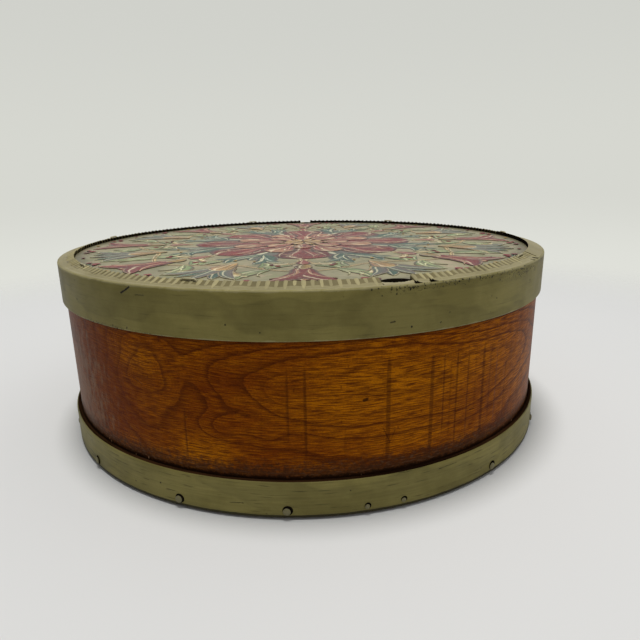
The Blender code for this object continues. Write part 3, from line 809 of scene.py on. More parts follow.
@dataclass(frozen=True)
class FolkPaint:
    """Brush strokes of the lid's pattern, streaked by the bristles and rubbed in places."""

    ground: Colour = screen(132, 126, 98)
    light: Colour = screen(214, 204, 168)
    line: Colour = screen(70, 56, 50)

    def material(self) -> bpy.types.Material:
        """Return the material, which reads each stroke's own map and tone."""
        coat = Coat("folk_paint", self.ground, Specular_IOR_Level=0.2)
        touch = coat.place_on_strip()
        place = coat.place_on_object()
        bristle = coat.streaks(touch, 70.0, 1500.0, 3.0)
        cloud = coat.noise(place, 95.0, 3.0, 0.6)
        across = coat.attribute("across").outputs["Fac"]
        wander = coat.math("MULTIPLY_ADD", coat.noise(touch, 130.0, 2.0), 0.5, -0.25)
        lit = coat.ease(coat.math("ABSOLUTE", coat.math("ADD", coat.math("ADD", across, 0.42), wander)), 0.20, 0.06)
        lined = coat.ease(coat.math("ADD", coat.math("ABSOLUTE", across), wander), 0.72, 0.95)
        tone = coat.attribute("tone").outputs["Color"]
        tone = coat.tinted(tone, coat.span(bristle, 0.35, 1.65))
        tone = coat.mix(coat.math("MULTIPLY", lit, 0.58), tone, self.light)
        tone = coat.mix(coat.math("MULTIPLY", lined, 0.82), tone, self.line)
        tone = coat.tinted(tone, coat.span(cloud, 0.46, 1.56))
        tone = coat.tinted(tone, coat.math("ADD", coat.attribute("tint").outputs["Fac"], 1.0))
        rubbed = coat.math("ADD", coat.noise(place, 430.0, 4.0, 0.7), coat.math("MULTIPLY", bristle, 0.25))
        rubbed = coat.math("MULTIPLY", coat.ease(rubbed, 0.66, 0.80), 0.60)
        tone = coat.mix(rubbed, tone, self.ground)
        return coat.finish(tone, coat.span(cloud, 0.38, 0.56), coat.bump(bristle, 0.00010, 0.8))


@dataclass(frozen=True)
class OldMetal:
    """Iron or steel that has dulled, with old paint caught on it."""

    name: str
    metal: Colour
    paint: Colour
    painted: float
    metallic: float = 0.6

    def material(self) -> bpy.types.Material:
        """Return the material."""
        coat = Coat(self.name, self.metal, Metallic=self.metallic)
        place = coat.place_on_object()
        lump = coat.noise(place, 520.0, 4.0, 0.6)
        rust = coat.noise(place, 1500.0, 3.0, 0.6)
        cover = coat.ease(lump, 0.74 - self.painted * 0.5, 0.80 - self.painted * 0.5)
        metal = coat.tinted(self.metal, coat.span(rust, 0.45, 1.55))
        colour = coat.mix(cover, metal, coat.tinted(self.paint, coat.span(rust, 0.80, 1.20)))
        return coat.finish(colour, coat.span(lump, 0.40, 0.70), coat.bump(rust, 0.00012, 0.7))


# Mesh making


def placed(name: str, mesh: bpy.types.Mesh) -> bpy.types.Object:
    """Return a new object that shows this mesh, linked to the scene."""
    mesh.name = name
    made = bpy.data.objects.new(name, mesh)
    bpy.context.scene.collection.objects.link(made)
    return made


def softened(made: bpy.types.Object, degrees: float = 32.0) -> bpy.types.Object:
    """Shade an object softly, with crisp lines where its faces turn by more than an angle."""
    made.data.shade_smooth()
    made.data.set_sharp_from_angle(angle=math.radians(degrees))
    return made


@dataclass
class MeshLists:
    """Lists that one mesh is gathered in.

    Attributes:
        points: Corner points.
        faces: Faces as lists of corner numbers.
        maps: The strip map's place of each corner point.
        dress: Material number of each face.
        levels: Named numbers of each corner point.
    """

    points: list[tuple[float, float, float]] = field(default_factory=list)
    faces: list[tuple[int, ...]] = field(default_factory=list)
    maps: list[Point] = field(default_factory=list)
    dress: list[int] = field(default_factory=list)
    levels: dict[str, list[float]] = field(default_factory=dict)

    def object(self, name: str, materials: Sequence[bpy.types.Material]) -> bpy.types.Object:
        """Return an object made of the lists.

        Args:
            name: The object's name.
            materials: Its materials, in the order of the numbers in dress.

        Returns:
            The object.
        """
        mesh = bpy.data.meshes.new(name)
        mesh.from_pydata(self.points, [], self.faces)
        for material in materials:
            mesh.materials.append(material)
        if self.dress:
            mesh.polygons.foreach_set("material_index", self.dress)
            mesh.attributes.new("dress", "FLOAT", "FACE").data.foreach_set("value", np.array(self.dress, np.float32))
        if self.maps:
            corners = np.zeros(len(mesh.loops), np.int32)
            mesh.loops.foreach_get("vertex_index", corners)
            mesh.uv_layers.new(name=STRIP_MAP).uv.foreach_set(
                "vector", np.array(self.maps, np.float32)[corners].ravel())
        for key, values in self.levels.items():
            mesh.attributes.new(key, "FLOAT", "POINT").data.foreach_set("value", np.array(values, np.float32))
        mesh.validate()
        return softened(placed(name, mesh))


def joined(name: str, parts: Sequence[bpy.types.Object]) -> bpy.types.Object:
    """Join objects into the first one.

    Args:
        name: The joined object's name.
        parts: The objects to join.

    Returns:
        The joined object.
    """
    with bpy.context.temp_override(active_object=parts[0], selected_editable_objects=list(parts)):
        bpy.ops.object.join()
    parts[0].name = parts[0].data.name = name
    return parts[0]


@dataclass(frozen=True)
class Station:
    """One upright section of a bent strip.

    Attributes:
        angle: Angle round the box, unwrapped.
        outer: Radius of its outer face.
        inner: Radius of its inner face.
    """

    angle: float
    outer: float
    inner: float


@dataclass
class BentStrip:
    """A strip of wood bent into a ring, its two tapered ends lapped one over the other.

    Attributes:
        outer: Outer radius.
        inner: Inner radius.
        foot: Height of its lower edge.
        top: Height of its upper edge.
        lap_length: Length of the lap.
        lap_deg: Angle of the lap's middle.
        rounding: Rounding of the upper outer edge.
        rows: Rows of faces up the outer side.
        steps: Sections in a full turn.
        feather: Thickness that each end runs out to.
        gap: Gap between the two ends.
    """

    outer: float
    inner: float
    foot: float
    top: float
    lap_length: float
    lap_deg: float
    rounding: float
    rows: int = 8
    steps: int = 240
    feather: float = 0.8 * MM
    gap: float = 0.3 * MM

    def ends(self) -> tuple[float, float]:
        """Return the angles where the lap starts and ends."""
        middle = math.radians(self.lap_deg)
        half = self.lap_length / self.outer / 2
        return middle - half, middle + half

    def tapered(self, angle: float) -> float:
        """Return the radius of the slope between the lap's two ends."""
        low, high = self.ends()
        share = min(max((angle - low) / (high - low), 0.0), 1.0)
        thickest = self.outer - self.inner - self.feather - self.gap
        return self.inner + self.feather + (thickest - self.feather) * share

    def station(self, angle: float, groove: float = 0.0) -> Station:
        """Return the section at an unwrapped angle, with its inner face cut back by a groove."""
        low, high = self.ends()
        outer = self.tapered(angle + math.tau) if angle <= high - math.tau else self.outer
        inner = self.inner if angle <= low - self.gap / self.outer else self.tapered(angle) + self.gap
        return Station(angle, outer, inner + groove)

    def stations(self, extra: Iterable[float] = ()) -> list[Station]:
        """Return the sections round the whole strip.

        Args:
            extra: Unwrapped angles that need a section too.

        Returns:
            The sections in order.
        """
        low, high = self.ends()
        near = 0.02 * MM
        edge = self.gap / self.outer
        keys = [low - math.tau, high - math.tau, high - math.tau + edge, low - edge, low, high, *extra]
        step = math.tau / self.steps
        plain = [low - math.tau + k * step for k in range(int((high - low + math.tau) / step) + 1)]
        keys.sort()
        angles = sorted(keys + [a for a in plain if min(abs(a - k) for k in keys) > near / self.outer * 20])
        return [self.station(a) for a in angles if low - math.tau - 1e-9 <= a <= high + 1e-9]

    def section(self, at: Station) -> tuple[list[tuple[float, float]], int]:
        """Return a section's outline from the outer foot round to the inner foot.

        Args:
            at: The section.

        Returns:
            Its points as (radius, height), and how many of them belong to the outer face.
        """
        curve = min(self.rounding, 0.45 * (at.outer - at.inner))
        ease = min(0.25 * MM, 0.2 * (at.outer - at.inner))
        rise = self.top - curve - self.foot - ease
        outside = [(at.outer - ease, self.foot)]
        outside += [(at.outer, self.foot + ease + rise * k / self.rows) for k in range(self.rows + 1)]
        for k in (1, 2, 3):
            turn = k * math.pi / 6
            outside.append((at.outer - curve * (1 - math.cos(turn)), self.top - curve * (1 - math.sin(turn))))
        inside = [(at.inner + ease, self.top), (at.inner, self.top - ease), (at.inner, self.foot + ease),
                  (at.inner + ease, self.foot)]
        return outside + inside, len(outside)

    def lists(self, stations: Sequence[Station],
              shape: Callable[[float, float, float], tuple[float, float, float]]) -> MeshLists:
        """Return the closed strip as mesh lists.

        Args:
            stations: Its sections in order.
            shape: Given an angle, a radius and a height, returns how far the point moves out and up
                and how strongly it is scored.

        Returns:
            The lists: material 0 outside, 1 on the upper edge, 2 inside and below.
        """
        made = MeshLists(levels={"score": []})
        count = 0
        for at in stations:
            outline, outside = self.section(at)
            count = len(outline)
            for number, (radius, height) in enumerate(outline):
                out, up, score = shape(at.angle, radius, height) if number < outside else (0.0, 0.0, 0.0)
                if number == outside:
                    up = shape(at.angle, radius, height)[1]
                made.points.append(((radius + out) * math.cos(at.angle), (radius + out) * math.sin(at.angle), height + up))
                made.maps.append((self.outer * (at.angle + math.pi / 2), height + (0.0 if number < outside else at.outer - radius)))
                made.levels["score"].append(score)
        for k in range(len(stations) - 1):
            for n in range(count):
                a, b = k * count + n, k * count + (n + 1) % count
                made.faces.append((a, a + count, b + count, b))
                made.dress.append(0 if n < outside - 1 else 1 if n == outside - 1 else 2)
        made.faces += [tuple(range(count)), tuple(reversed(range(len(made.points) - count, len(made.points))))]
        made.dress += [2, 2]
        return made


def swept(outline: Callable[[float], Sequence[Point]], dress: Sequence[int], start: float, end: float,
          steps: int) -> MeshLists:
    """Return a solid swept round the box from a closed section.

    Args:
        outline: Given an angle, returns the section's points as (radius, height), anticlockwise as seen
            with +radius to the right.
        dress: Material number of each side of the section.
        start: First angle.
        end: Last angle.
        steps: Sections to a full turn.

    Returns:
        The mesh lists.
    """
    made = MeshLists()
    pieces = max(2, round(abs(end - start) / math.tau * steps))
    count = len(dress)
    for k in range(pieces + 1):
        angle = start + (end - start) * k / pieces
        for radius, height in outline(angle):
            made.points.append((radius * math.cos(angle), radius * math.sin(angle), height))
    for k in range(pieces):
        for n in range(count):
            a, b = k * count + n, k * count + (n + 1) % count
            made.faces.append((a, a + count, b + count, b))
            made.dress.append(dress[n])
    made.faces += [tuple(range(count)), tuple(reversed(range(pieces * count, (pieces + 1) * count)))]
    made.dress += [dress[0], dress[0]]
    return made


def lathe(profile: Sequence[tuple[float, float]], segments: int, dress: int = 0,
          shift: tuple[float, float] = (0.0, 0.0)) -> MeshLists:
    """Return a closed solid turned round the upright axis.

    Args:
        profile: Points as (radius, height) from the top pole to the bottom pole.
        segments: Faces round the axis.
        dress: Material number of its faces.
        shift: How far it is moved sideways.

    Returns:
        The mesh lists.
    """
    made = MeshLists()
    rings = profile[1:-1]
    made.points.append((*shift, profile[0][1]))
    for radius, height in rings:
        for k in range(segments):
            angle = math.tau * k / segments
            made.points.append((shift[0] + radius * math.cos(angle), shift[1] + radius * math.sin(angle), height))
    made.points.append((*shift, profile[-1][1]))
    last = len(made.points) - 1
    for k in range(segments):
        m = (k + 1) % segments
        made.faces.append((0, 1 + k, 1 + m))
        for ring in range(len(rings) - 1):
            a, b = 1 + ring * segments, 1 + (ring + 1) * segments
            made.faces.append((a + k, b + k, b + m, a + m))
        a = 1 + (len(rings) - 1) * segments
        made.faces.append((a + k, last, a + m))
    made.dress = [dress] * len(made.faces)
    return made


def merged(parts: Sequence[MeshLists]) -> MeshLists:
    """Return several mesh lists as one, without their strip maps."""
    made = MeshLists()
    for part in parts:
        first = len(made.points)
        made.points += part.points
        made.faces += [tuple(first + corner for corner in face) for face in part.faces]
        made.dress += part.dress
    return made


# Fasteners


@dataclass(frozen=True)
class Seat:
    """Where the head of a nail or tack sits.

    Attributes:
        degrees: Angle round the box.
        height: Height of its middle.
        radius: Radius of the face under its head.
        size: Scale of the fastener.
    """

    degrees: float
    height: float
    radius: float
    size: float = 1.0


@dataclass(frozen=True)
class Fastener:
    """A nail or tack with a low domed head.

    Attributes:
        head: Radius of its head.
        rise: Height of its head.
        shank: Radius of its shank.
        grip: Length below the head.
        shade_film: Depth below the head of a dark disc of painted shade, the crescent round the head, or 0 for none.
        segments: Faces round it.
    """

    head: float
    rise: float
    shank: float
    grip: float
    shade_film: float = 0.0
    segments: int = 18

    def template(self) -> bpy.types.Object:
        """Return one fastener, its head up and the face under its head at height 0."""
        head, rise, shank, grip = self.head, self.rise, self.shank, self.grip
        solid = lathe([(0.0, rise), (head * 0.35, rise * 0.97), (head * 0.68, rise * 0.84), (head * 0.90, rise * 0.56),
                       (head, rise * 0.22), (head * 0.97, 0.0), (shank, 0.0), (shank, -grip * 0.8), (shank * 0.3, -grip),
                       (0.0, -grip)], self.segments)
        parts = [solid]
        # A dark disc under the head, shifted up and to the right, is painted shade: the dark crescent round the head.
        if self.shade_film:
            thick = self.shade_film
            parts.append(lathe([(0.0, -0.4 * thick), (head * 1.26, -0.4 * thick), (head * 1.34, -1.1 * thick),
                                (0.0, -1.1 * thick)], self.segments, 1, (-0.24 * head, 0.24 * head)))
        return merged(parts).object("fastener_template", ())

    def drive(self, name: str, seats: Sequence[Seat], metal: bpy.types.Material,
              grime_and_shade: bpy.types.Material) -> bpy.types.Object:
        """Put one fastener on every seat.

        Args:
            name: The piece's name.
            seats: Where they go.
            metal: Material of the fasteners.
            grime_and_shade: Material of the painted shade round the heads.

        Returns:
            The piece.
        """
        template = self.template()
        tree = Grower("nails_round_the_box")
        shape = tree.ask("Fastener", template)
        lean = tree.ask("Lean", 0.035)
        seed = tree.ask("Seed", 11)
        first, second = tree.ask("Metal", metal), tree.ask("Shade film", grime_and_shade)
        tilt = tree.vector("SCALE", tree.chance((-1.0, -1.0, -1.0), (1.0, 1.0, 1.0), seed), lean)
        facing = tree.join(0.0, math.pi / 2, tree.named("turn"))
        info = tree.step("GeometryNodeObjectInfo", {"Object": shape})
        grown = tree.step("GeometryNodeInstanceOnPoints", {
            "Points": tree.start.outputs[0], "Instance": info.outputs["Geometry"],
            "Rotation": tree.turned(tree.vector("ADD", facing, tilt)), "Scale": tree.named("size")})
        tree.close(grown.outputs[0], [(True, first), (tree.math("GREATER_THAN", tree.named("dress"), 0.5), second)])
        seedbed = MeshLists(levels={"turn": [], "size": []})
        for seat in seats:
            turn = math.radians(seat.degrees)
            seedbed.points.append((seat.radius * math.cos(turn), seat.radius * math.sin(turn), seat.height))
            seedbed.levels["turn"].append(turn)
            seedbed.levels["size"].append(seat.size)
        piece = tree.grow(name, seedbed.object("seats", ()))
        bpy.data.objects.remove(template, do_unlink=True)
        return softened(piece)


# The box below the lid


@dataclass(frozen=True)
class Score:
    """A crack in the wood over one of the wall's inner kerfs.

    Attributes:
        degrees: Angle round the box.
        low: Height of its lower end in millimetres.
        high: Height of its upper end.
        strength: How strongly it shows, 0 to 1.
    """

    degrees: float
    low: float
    high: float
    strength: float

    def level(self, height: float) -> float:
        """Return how strongly it shows at a height in metres, fading at both ends."""
        within = min(height / MM - self.low, self.high - height / MM)
        return self.strength * min(max(within / 12.0, 0.0), 1.0)


@dataclass
class BoxBody:
    """The box itself: bent wall, bottom board, foot hoop and their nails and tacks."""

    wall: BentStrip = field(default_factory=lambda: BentStrip(
        outer=0.1942, inner=0.1894, foot=0.0, top=0.1333, lap_length=0.0600, lap_deg=97.25,
        rounding=0.4 * MM, rows=22))
    hoop: BentStrip = field(default_factory=lambda: BentStrip(
        outer=0.1980, inner=0.1945, foot=0.0006, top=0.0243, lap_length=0.0500, lap_deg=74.75,
        rounding=0.8 * MM, rows=5))
    kerfs: int = 124
    kerf_width: float = 0.0010
    kerf_depth: float = 0.0024
    score_width: float = 1.9 * MM
    score_depth: float = 0.10 * MM
    # The nails carry a dark disc of painted shade under each head.
    nail: Fastener = Fastener(0.0024, 0.0011, 0.0009, 0.0120, 0.3 * MM, 20)
    tack: Fastener = Fastener(0.0024, 0.0008, 0.0007, 0.0040)
    small_nail: float = 0.65
    nail_height: float = 0.0050
    seat_gap: float = 0.3 * MM
    brow: float = 0.1100
    nail_degrees: tuple[float, ...] = tuple(
        -94.0 + 22.5 * k + wander for k, wander in enumerate(
            (0.0, -1.7, -2.5, 1.2, -0.8, 0.6, 1.5, -1.0, 0.4, 1.1, -1.3, 0.7, -0.5, 0.9, 0.3, 2.4)))
    extra_nail_degrees: float = -80.0
    wall_tack_heights: tuple[float, ...] = tuple(0.0243 + 0.0857 * share for share in (0.10, 0.36, 0.64, 0.90))
    hoop_tack_heights: tuple[float, ...] = (0.012450 - 0.005925, 0.012450 + 0.005925)
    scores: tuple[Score, ...] = (
        Score(-76.0, 25, 101, 1.0), Score(-67.5, 24, 98, 1.0), Score(-65.0, 37, 98, 0.7),
        Score(-61.8, 27, 100, 0.9), Score(-59.2, 30, 97, 0.65), Score(-54.8, 18, 98, 0.85),
        Score(-90.3, 34, 98, 0.85), Score(-93.3, 44, 98, 0.6), Score(-83.7, 30, 60, 0.35), Score(-112.0, 27, 71, 0.7),
        Score(-63.3, 30, 96, 0.35), Score(-57.0, 42, 98, 0.28), Score(-52.6, 32, 95, 0.40),
        Score(-50.6, 30, 94, 0.50), Score(-46.8, 30, 84, 0.45), Score(-97.8, 40, 80, 0.22), Score(-138.5, 34, 88, 0.5), Score(-160.0, 28, 70, 0.5),
        Score(-20.0, 30, 90, 0.7), Score(-11.5, 26, 96, 0.6), Score(24.0, 30, 90, 0.8),
        Score(52.0, 28, 84, 0.7), Score(131.0, 30, 92, 0.8), Score(151.0, 34, 88, 0.6))

    def kerf_angles(self) -> list[float]:
        """Return the middles of the wall's inner kerfs, kept clear of its lap."""
        low, high = self.wall.ends()
        pitch = math.tau / self.kerfs
        start = high - math.tau + 2 * pitch
        first = math.ceil(start / pitch - 0.5)
        found = ((k + 0.5) * pitch for k in range(first, first + self.kerfs))
        return [angle for angle in found if start < angle < low - 2 * pitch]

    def wall_wood(self) -> bpy.types.Material:
        """Return the wall's outer finish."""
        r = self.wall.outer
        figures = tuple(Figure(round_the_box(r, degrees, height), (length * MM, rise * MM), rings)
                        for degrees, height, length, rise, rings in (
            (-85.9, 75.1, 35.9, 26.9, 3.24), (-49.6, 83.1, 78.4, 24.5, 4.08), (-97.1, 53.1, 13.0, 9.0, 1.35),
            (-104.8, 90.1, 20.7, 10.8, 1.76), (-120.2, 73.7, 23.9, 36.6, 3.33), (-106.1, 33.9, 43.1, 10.3, 1.36),
            (-72.5, 81.3, 38.9, 28.9, 2.84), (-136.1, 81.9, 13.0, 52.0, -1.13), (-120.1, 64.8, 17.6, 11.5, -2.00),
            (-92.9, 103.6, 88.5, 9.4, 1.41), (-119.3, 35.6, 82.8, 20.3, -2.00), (-57.9, 60.3, 40.1, 20.3, 1.40),
            (-104.3, 73.7, 13.0, 14.9, 1.24), (-95.3, 82.1, 23.1, 17.9, 2.94), (-104.5, 55.5, 17.4, 9.0, 2.25), (-112.0, 44.0, 12.0, 8.0, 0.35),
            (-168.0, 60.0, 48.0, 20.0, 3.60), (-205.0, 84.0, 80.0, 17.0, 4.60), (-226.0, 48.0, 52.0, 16.0, 3.00),
            (4.0, 66.0, 78.0, 20.0, 5.20), (40.0, 90.0, 46.0, 14.0, 3.00), (72.0, 54.0, 58.0, 19.0, 4.40),
            (-20.0, 38.0, 40.0, 12.0, -1.40)))
        marks = (
            Mark(round_the_box(r, -80.4, 72.2), round_the_box(r, -79.9, 72.7), 1.3 * MM, 1.0),
            scratch(r, (-76.9, 53.3), (-75.6, 43.4), 0.45, 0.55), scratch(r, (-75.6, 43.4), (-74.7, 50.8), 0.40, 0.45),
            pit(r, -122.3, 77.0, 1.3, 0.45), scratch(r, (-123.3, 79.0), (-121.0, 75.5), 0.6, 0.4),
            pit(r, -111.8, 60.0, 0.8, 0.7), scratch(r, (-98.0, 33.0), (-95.4, 33.8), 0.5, 0.6),
            scratch(r, (-58.2, 52.0), (-56.9, 51.4), 0.5, 0.7), scratch(r, (-141.0, 66.0), (-138.0, 67.0), 0.6, 0.6),
            pit(r, 14.0, 73.0, 2.2, 0.9), pit(r, 140.5, 81.0, 2.4, 0.9), scratch(r, (64.0, 58.0), (66.8, 60.5), 0.8, 0.7))
        # Golden swells of the wood, partly a painted highlight on the front and right of the wall.
        glows_and_highlights = tuple(Figure(round_the_box(r, degrees, height), (length * MM, rise * MM), level)
                      for degrees, height, length, rise, level in (
            (-78.0, 79.0, 40.0, 22.0, 0.60), (-60.0, 74.0, 44.0, 30.0, 0.30), (-42.0, 66.0, 34.0, 34.0, 0.22), (-109.0, 38.0, 18.0, 8.0, 0.50),
            (-69.0, 47.0, 30.0, 9.0, 0.25), (-121.0, 92.0, 14.0, 9.0, 0.30), (-120.0, 58.0, 26.0, 14.0, 0.20),
            (6.0, 70.0, 60.0, 26.0, 0.40), (70.0, 56.0, 50.0, 22.0, 0.35), (-170.0, 62.0, 44.0, 22.0, 0.25),
            (-206.0, 82.0, 60.0, 20.0, 0.40), (-139.0, 72.0, 44.0, 60.0, -0.35)))
        # Grey haze on the left side: dust, partly a painted sheen.
        haze_of_dust_and_sheen = Figure(round_the_box(r, -148.0, 52.0), (68.0 * MM, 76.0 * MM), 0.62)
        calm = Figure(round_the_box(r, -130.0, 76.0), (48.0 * MM, 56.0 * MM), 0.8)
        return VarnishedWood(figures, glows_and_highlights, marks, self.hoop.top, self.brow, haze_of_dust_and_sheen, calm).material()

    def bend_wall(self) -> bpy.types.Object:
        """Return the wall, kerfed inside and scored outside."""
        half, lip = self.kerf_width / self.wall.outer / 2, 0.03 * MM / self.wall.outer
        kerfs = self.kerf_angles()
        turns = [(score, math.radians(score.degrees) + turn) for score in self.scores for turn in (-math.tau, 0.0)]
        width = self.score_width / self.wall.outer
        extra = [k + side * (half - cut) for k in kerfs for side in (-1, 1) for cut in (0.0, lip)]
        extra += [turn + side * width for _, turn in turns for side in (-1, 0, 1)]
        kerf_rows = np.array(kerfs)

        def grooved(at: Station) -> Station:
            """Return the section, cut back where it lies in a kerf."""
            inside = np.abs(kerf_rows - at.angle).min() < half - lip / 2
            return Station(at.angle, at.outer, at.inner + self.kerf_depth) if inside else at

        def shape(angle: float, radius: float, height: float) -> tuple[float, float, float]:
            """Return how a point of the outer face moves: facets over the kerfs, and cracks."""
            facet = 0.05 * MM * (0.5 + 0.5 * math.cos(angle * self.kerfs))
            split = max((score.level(height) for score, turn in turns if abs(turn - angle) < width / 50), default=0.0)
            return -facet - self.score_depth * split, 0.0, split

        stations = [grooved(at) for at in self.wall.stations(extra)]
        lists = self.wall.lists(stations, shape)
        bare = BareWood("wall_inside", WoodAge.DRY, PaintPlace.STRIP).material()
        return lists.object("wall_veneer", (self.wall_wood(), bare, bare))

    def bend_hoop(self) -> bpy.types.Object:
        """Return the foot hoop, painted outside and stained on its upper edge."""
        r = self.hoop.outer
        marks = (pit(r, -118.0, 13.0, 0.8), scratch(r, (-104.0, 9.0), (-101.5, 9.4), 0.4, 0.7),
                 pit(r, -83.0, 17.0, 0.6, 0.8), scratch(r, (-66.0, 20.0), (-62.0, 20.6), 0.35, 0.7),
                 pit(r, -55.0, 8.0, 0.7), pit(r, -141.0, 18.0, 0.7, 0.8), scratch(r, (-38.0, 6.0), (-35.0, 6.3), 0.4, 0.7))
        # The hoop's paint darkens along its foot: painted contact shadow.
        paint = OlivePaint("hoop_paint", PaintPlace.STRIP, (), marks, streaked=0.16, dashed=0.55,
                           foot_shadow_top=self.hoop.foot + 1.6 * MM).material()
        stained = BareWood("hoop_edge", WoodAge.STAINED, PaintPlace.STRIP).material()

        def shape(angle: float, radius: float, height: float) -> tuple[float, float, float]:
            """Return how a point of the outer face moves: a slight waviness."""
            wave = 0.5 + 0.25 * math.sin(7 * angle + 1.0) + 0.25 * math.sin(17 * angle + height * 90)
            return -0.12 * MM * wave, -0.25 * MM * (0.5 + 0.5 * math.sin(5 * angle + 2.0)) * (height > self.hoop.top - MM), 0.0

        return self.hoop.lists(self.hoop.stations(), shape).object("foot_hoop", (paint, stained, stained))

    def drive_nails(self) -> tuple[bpy.types.Object, bpy.types.Object]:
        """Return the hoop's nails and the tacks of both laps."""
        iron = OldMetal("nail_iron", (0.100, 0.088, 0.052), (0.168, 0.148, 0.066), 0.85, 0.1).material()
        # Near-black material for the painted shade round the nail heads.
        grime_and_shade = BareWood("nail_shade_film", WoodAge.DARK_AND_SHADED).material()
        seat = self.hoop.outer + self.seat_gap
        nails = [Seat(degrees, self.nail_height, seat, self.small_nail if k == 1 else 1.0)
                 for k, degrees in enumerate(self.nail_degrees)]
        nails.append(Seat(self.extra_nail_degrees, self.nail_height, seat, self.small_nail))
        spread = math.degrees(0.012 / self.hoop.outer / 2)
        tacks = [Seat(self.wall.lap_deg, height, self.wall.outer + self.seat_gap) for height in self.wall_tack_heights]
        tacks += [Seat(self.hoop.lap_deg + side * spread, height, seat)
                  for side, height in zip((-1, 1), self.hoop_tack_heights)]
        return (self.nail.drive("hoop_nails", nails, iron, grime_and_shade),
                self.tack.drive("lap_tacks", tacks, iron, grime_and_shade))

    def build(self, nodes: dict[str, bpy.types.Object]) -> None:
        """Build and dress the whole box below the lid.

        Args:
            nodes: The CAD objects by node name.
        """
        wall = fitted(self.bend_wall(), "box", nodes, ("wall",))
        hoop = fitted(self.bend_hoop(), "box", nodes, ("bottom_hoop",))
        nails, tacks = self.drive_nails()
        fitted(nails, "box", nodes, names_with(nodes, "hoop_nail_"))
        fitted(tacks, "box", nodes,
               names_with(nodes, "wall_lap_tack_") + names_with(nodes, "hoop_lap_tack_"))
        redress(nodes["bottom_board"], BareWood("board_wood", WoodAge.DRY).material())
        log.info("box body: %s and %s bent, bottom board dressed", wall.name, hoop.name)


def names_with(nodes: Iterable[str], start: str) -> tuple[str, ...]:
    """Return the node names that begin with this text, in order."""
    return tuple(sorted(name for name in nodes if name.startswith(start)))


def redress(node: bpy.types.Object, material: bpy.types.Material) -> None:
    """Give a kept CAD object a new finish."""
    for slot in node.material_slots:
        slot.material = material


def fitted(piece: bpy.types.Object, body: str, nodes: dict[str, bpy.types.Object],
           names: Sequence[str] = ()) -> bpy.types.Object:
    """Enter a finished piece in the shared frame.

    Args:
        piece: The piece.
        body: The body that it rides on.
        nodes: The CAD objects by node name.
        names: The nodes that it stands in for.

    Returns:
        The piece.
    """
    if names:
        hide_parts(*(nodes[name].name for name in names))
    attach(piece, body)
    log.info("%s: %d faces", piece.name, len(piece.data.polygons))
    return piece


# The lid


@dataclass(frozen=True)
class BrokenTeeth:
    """A place where teeth of the rim are gone.

    Attributes:
        degrees: Angle where it starts.
        teeth: How many are gone.
    """

    degrees: float
    teeth: int


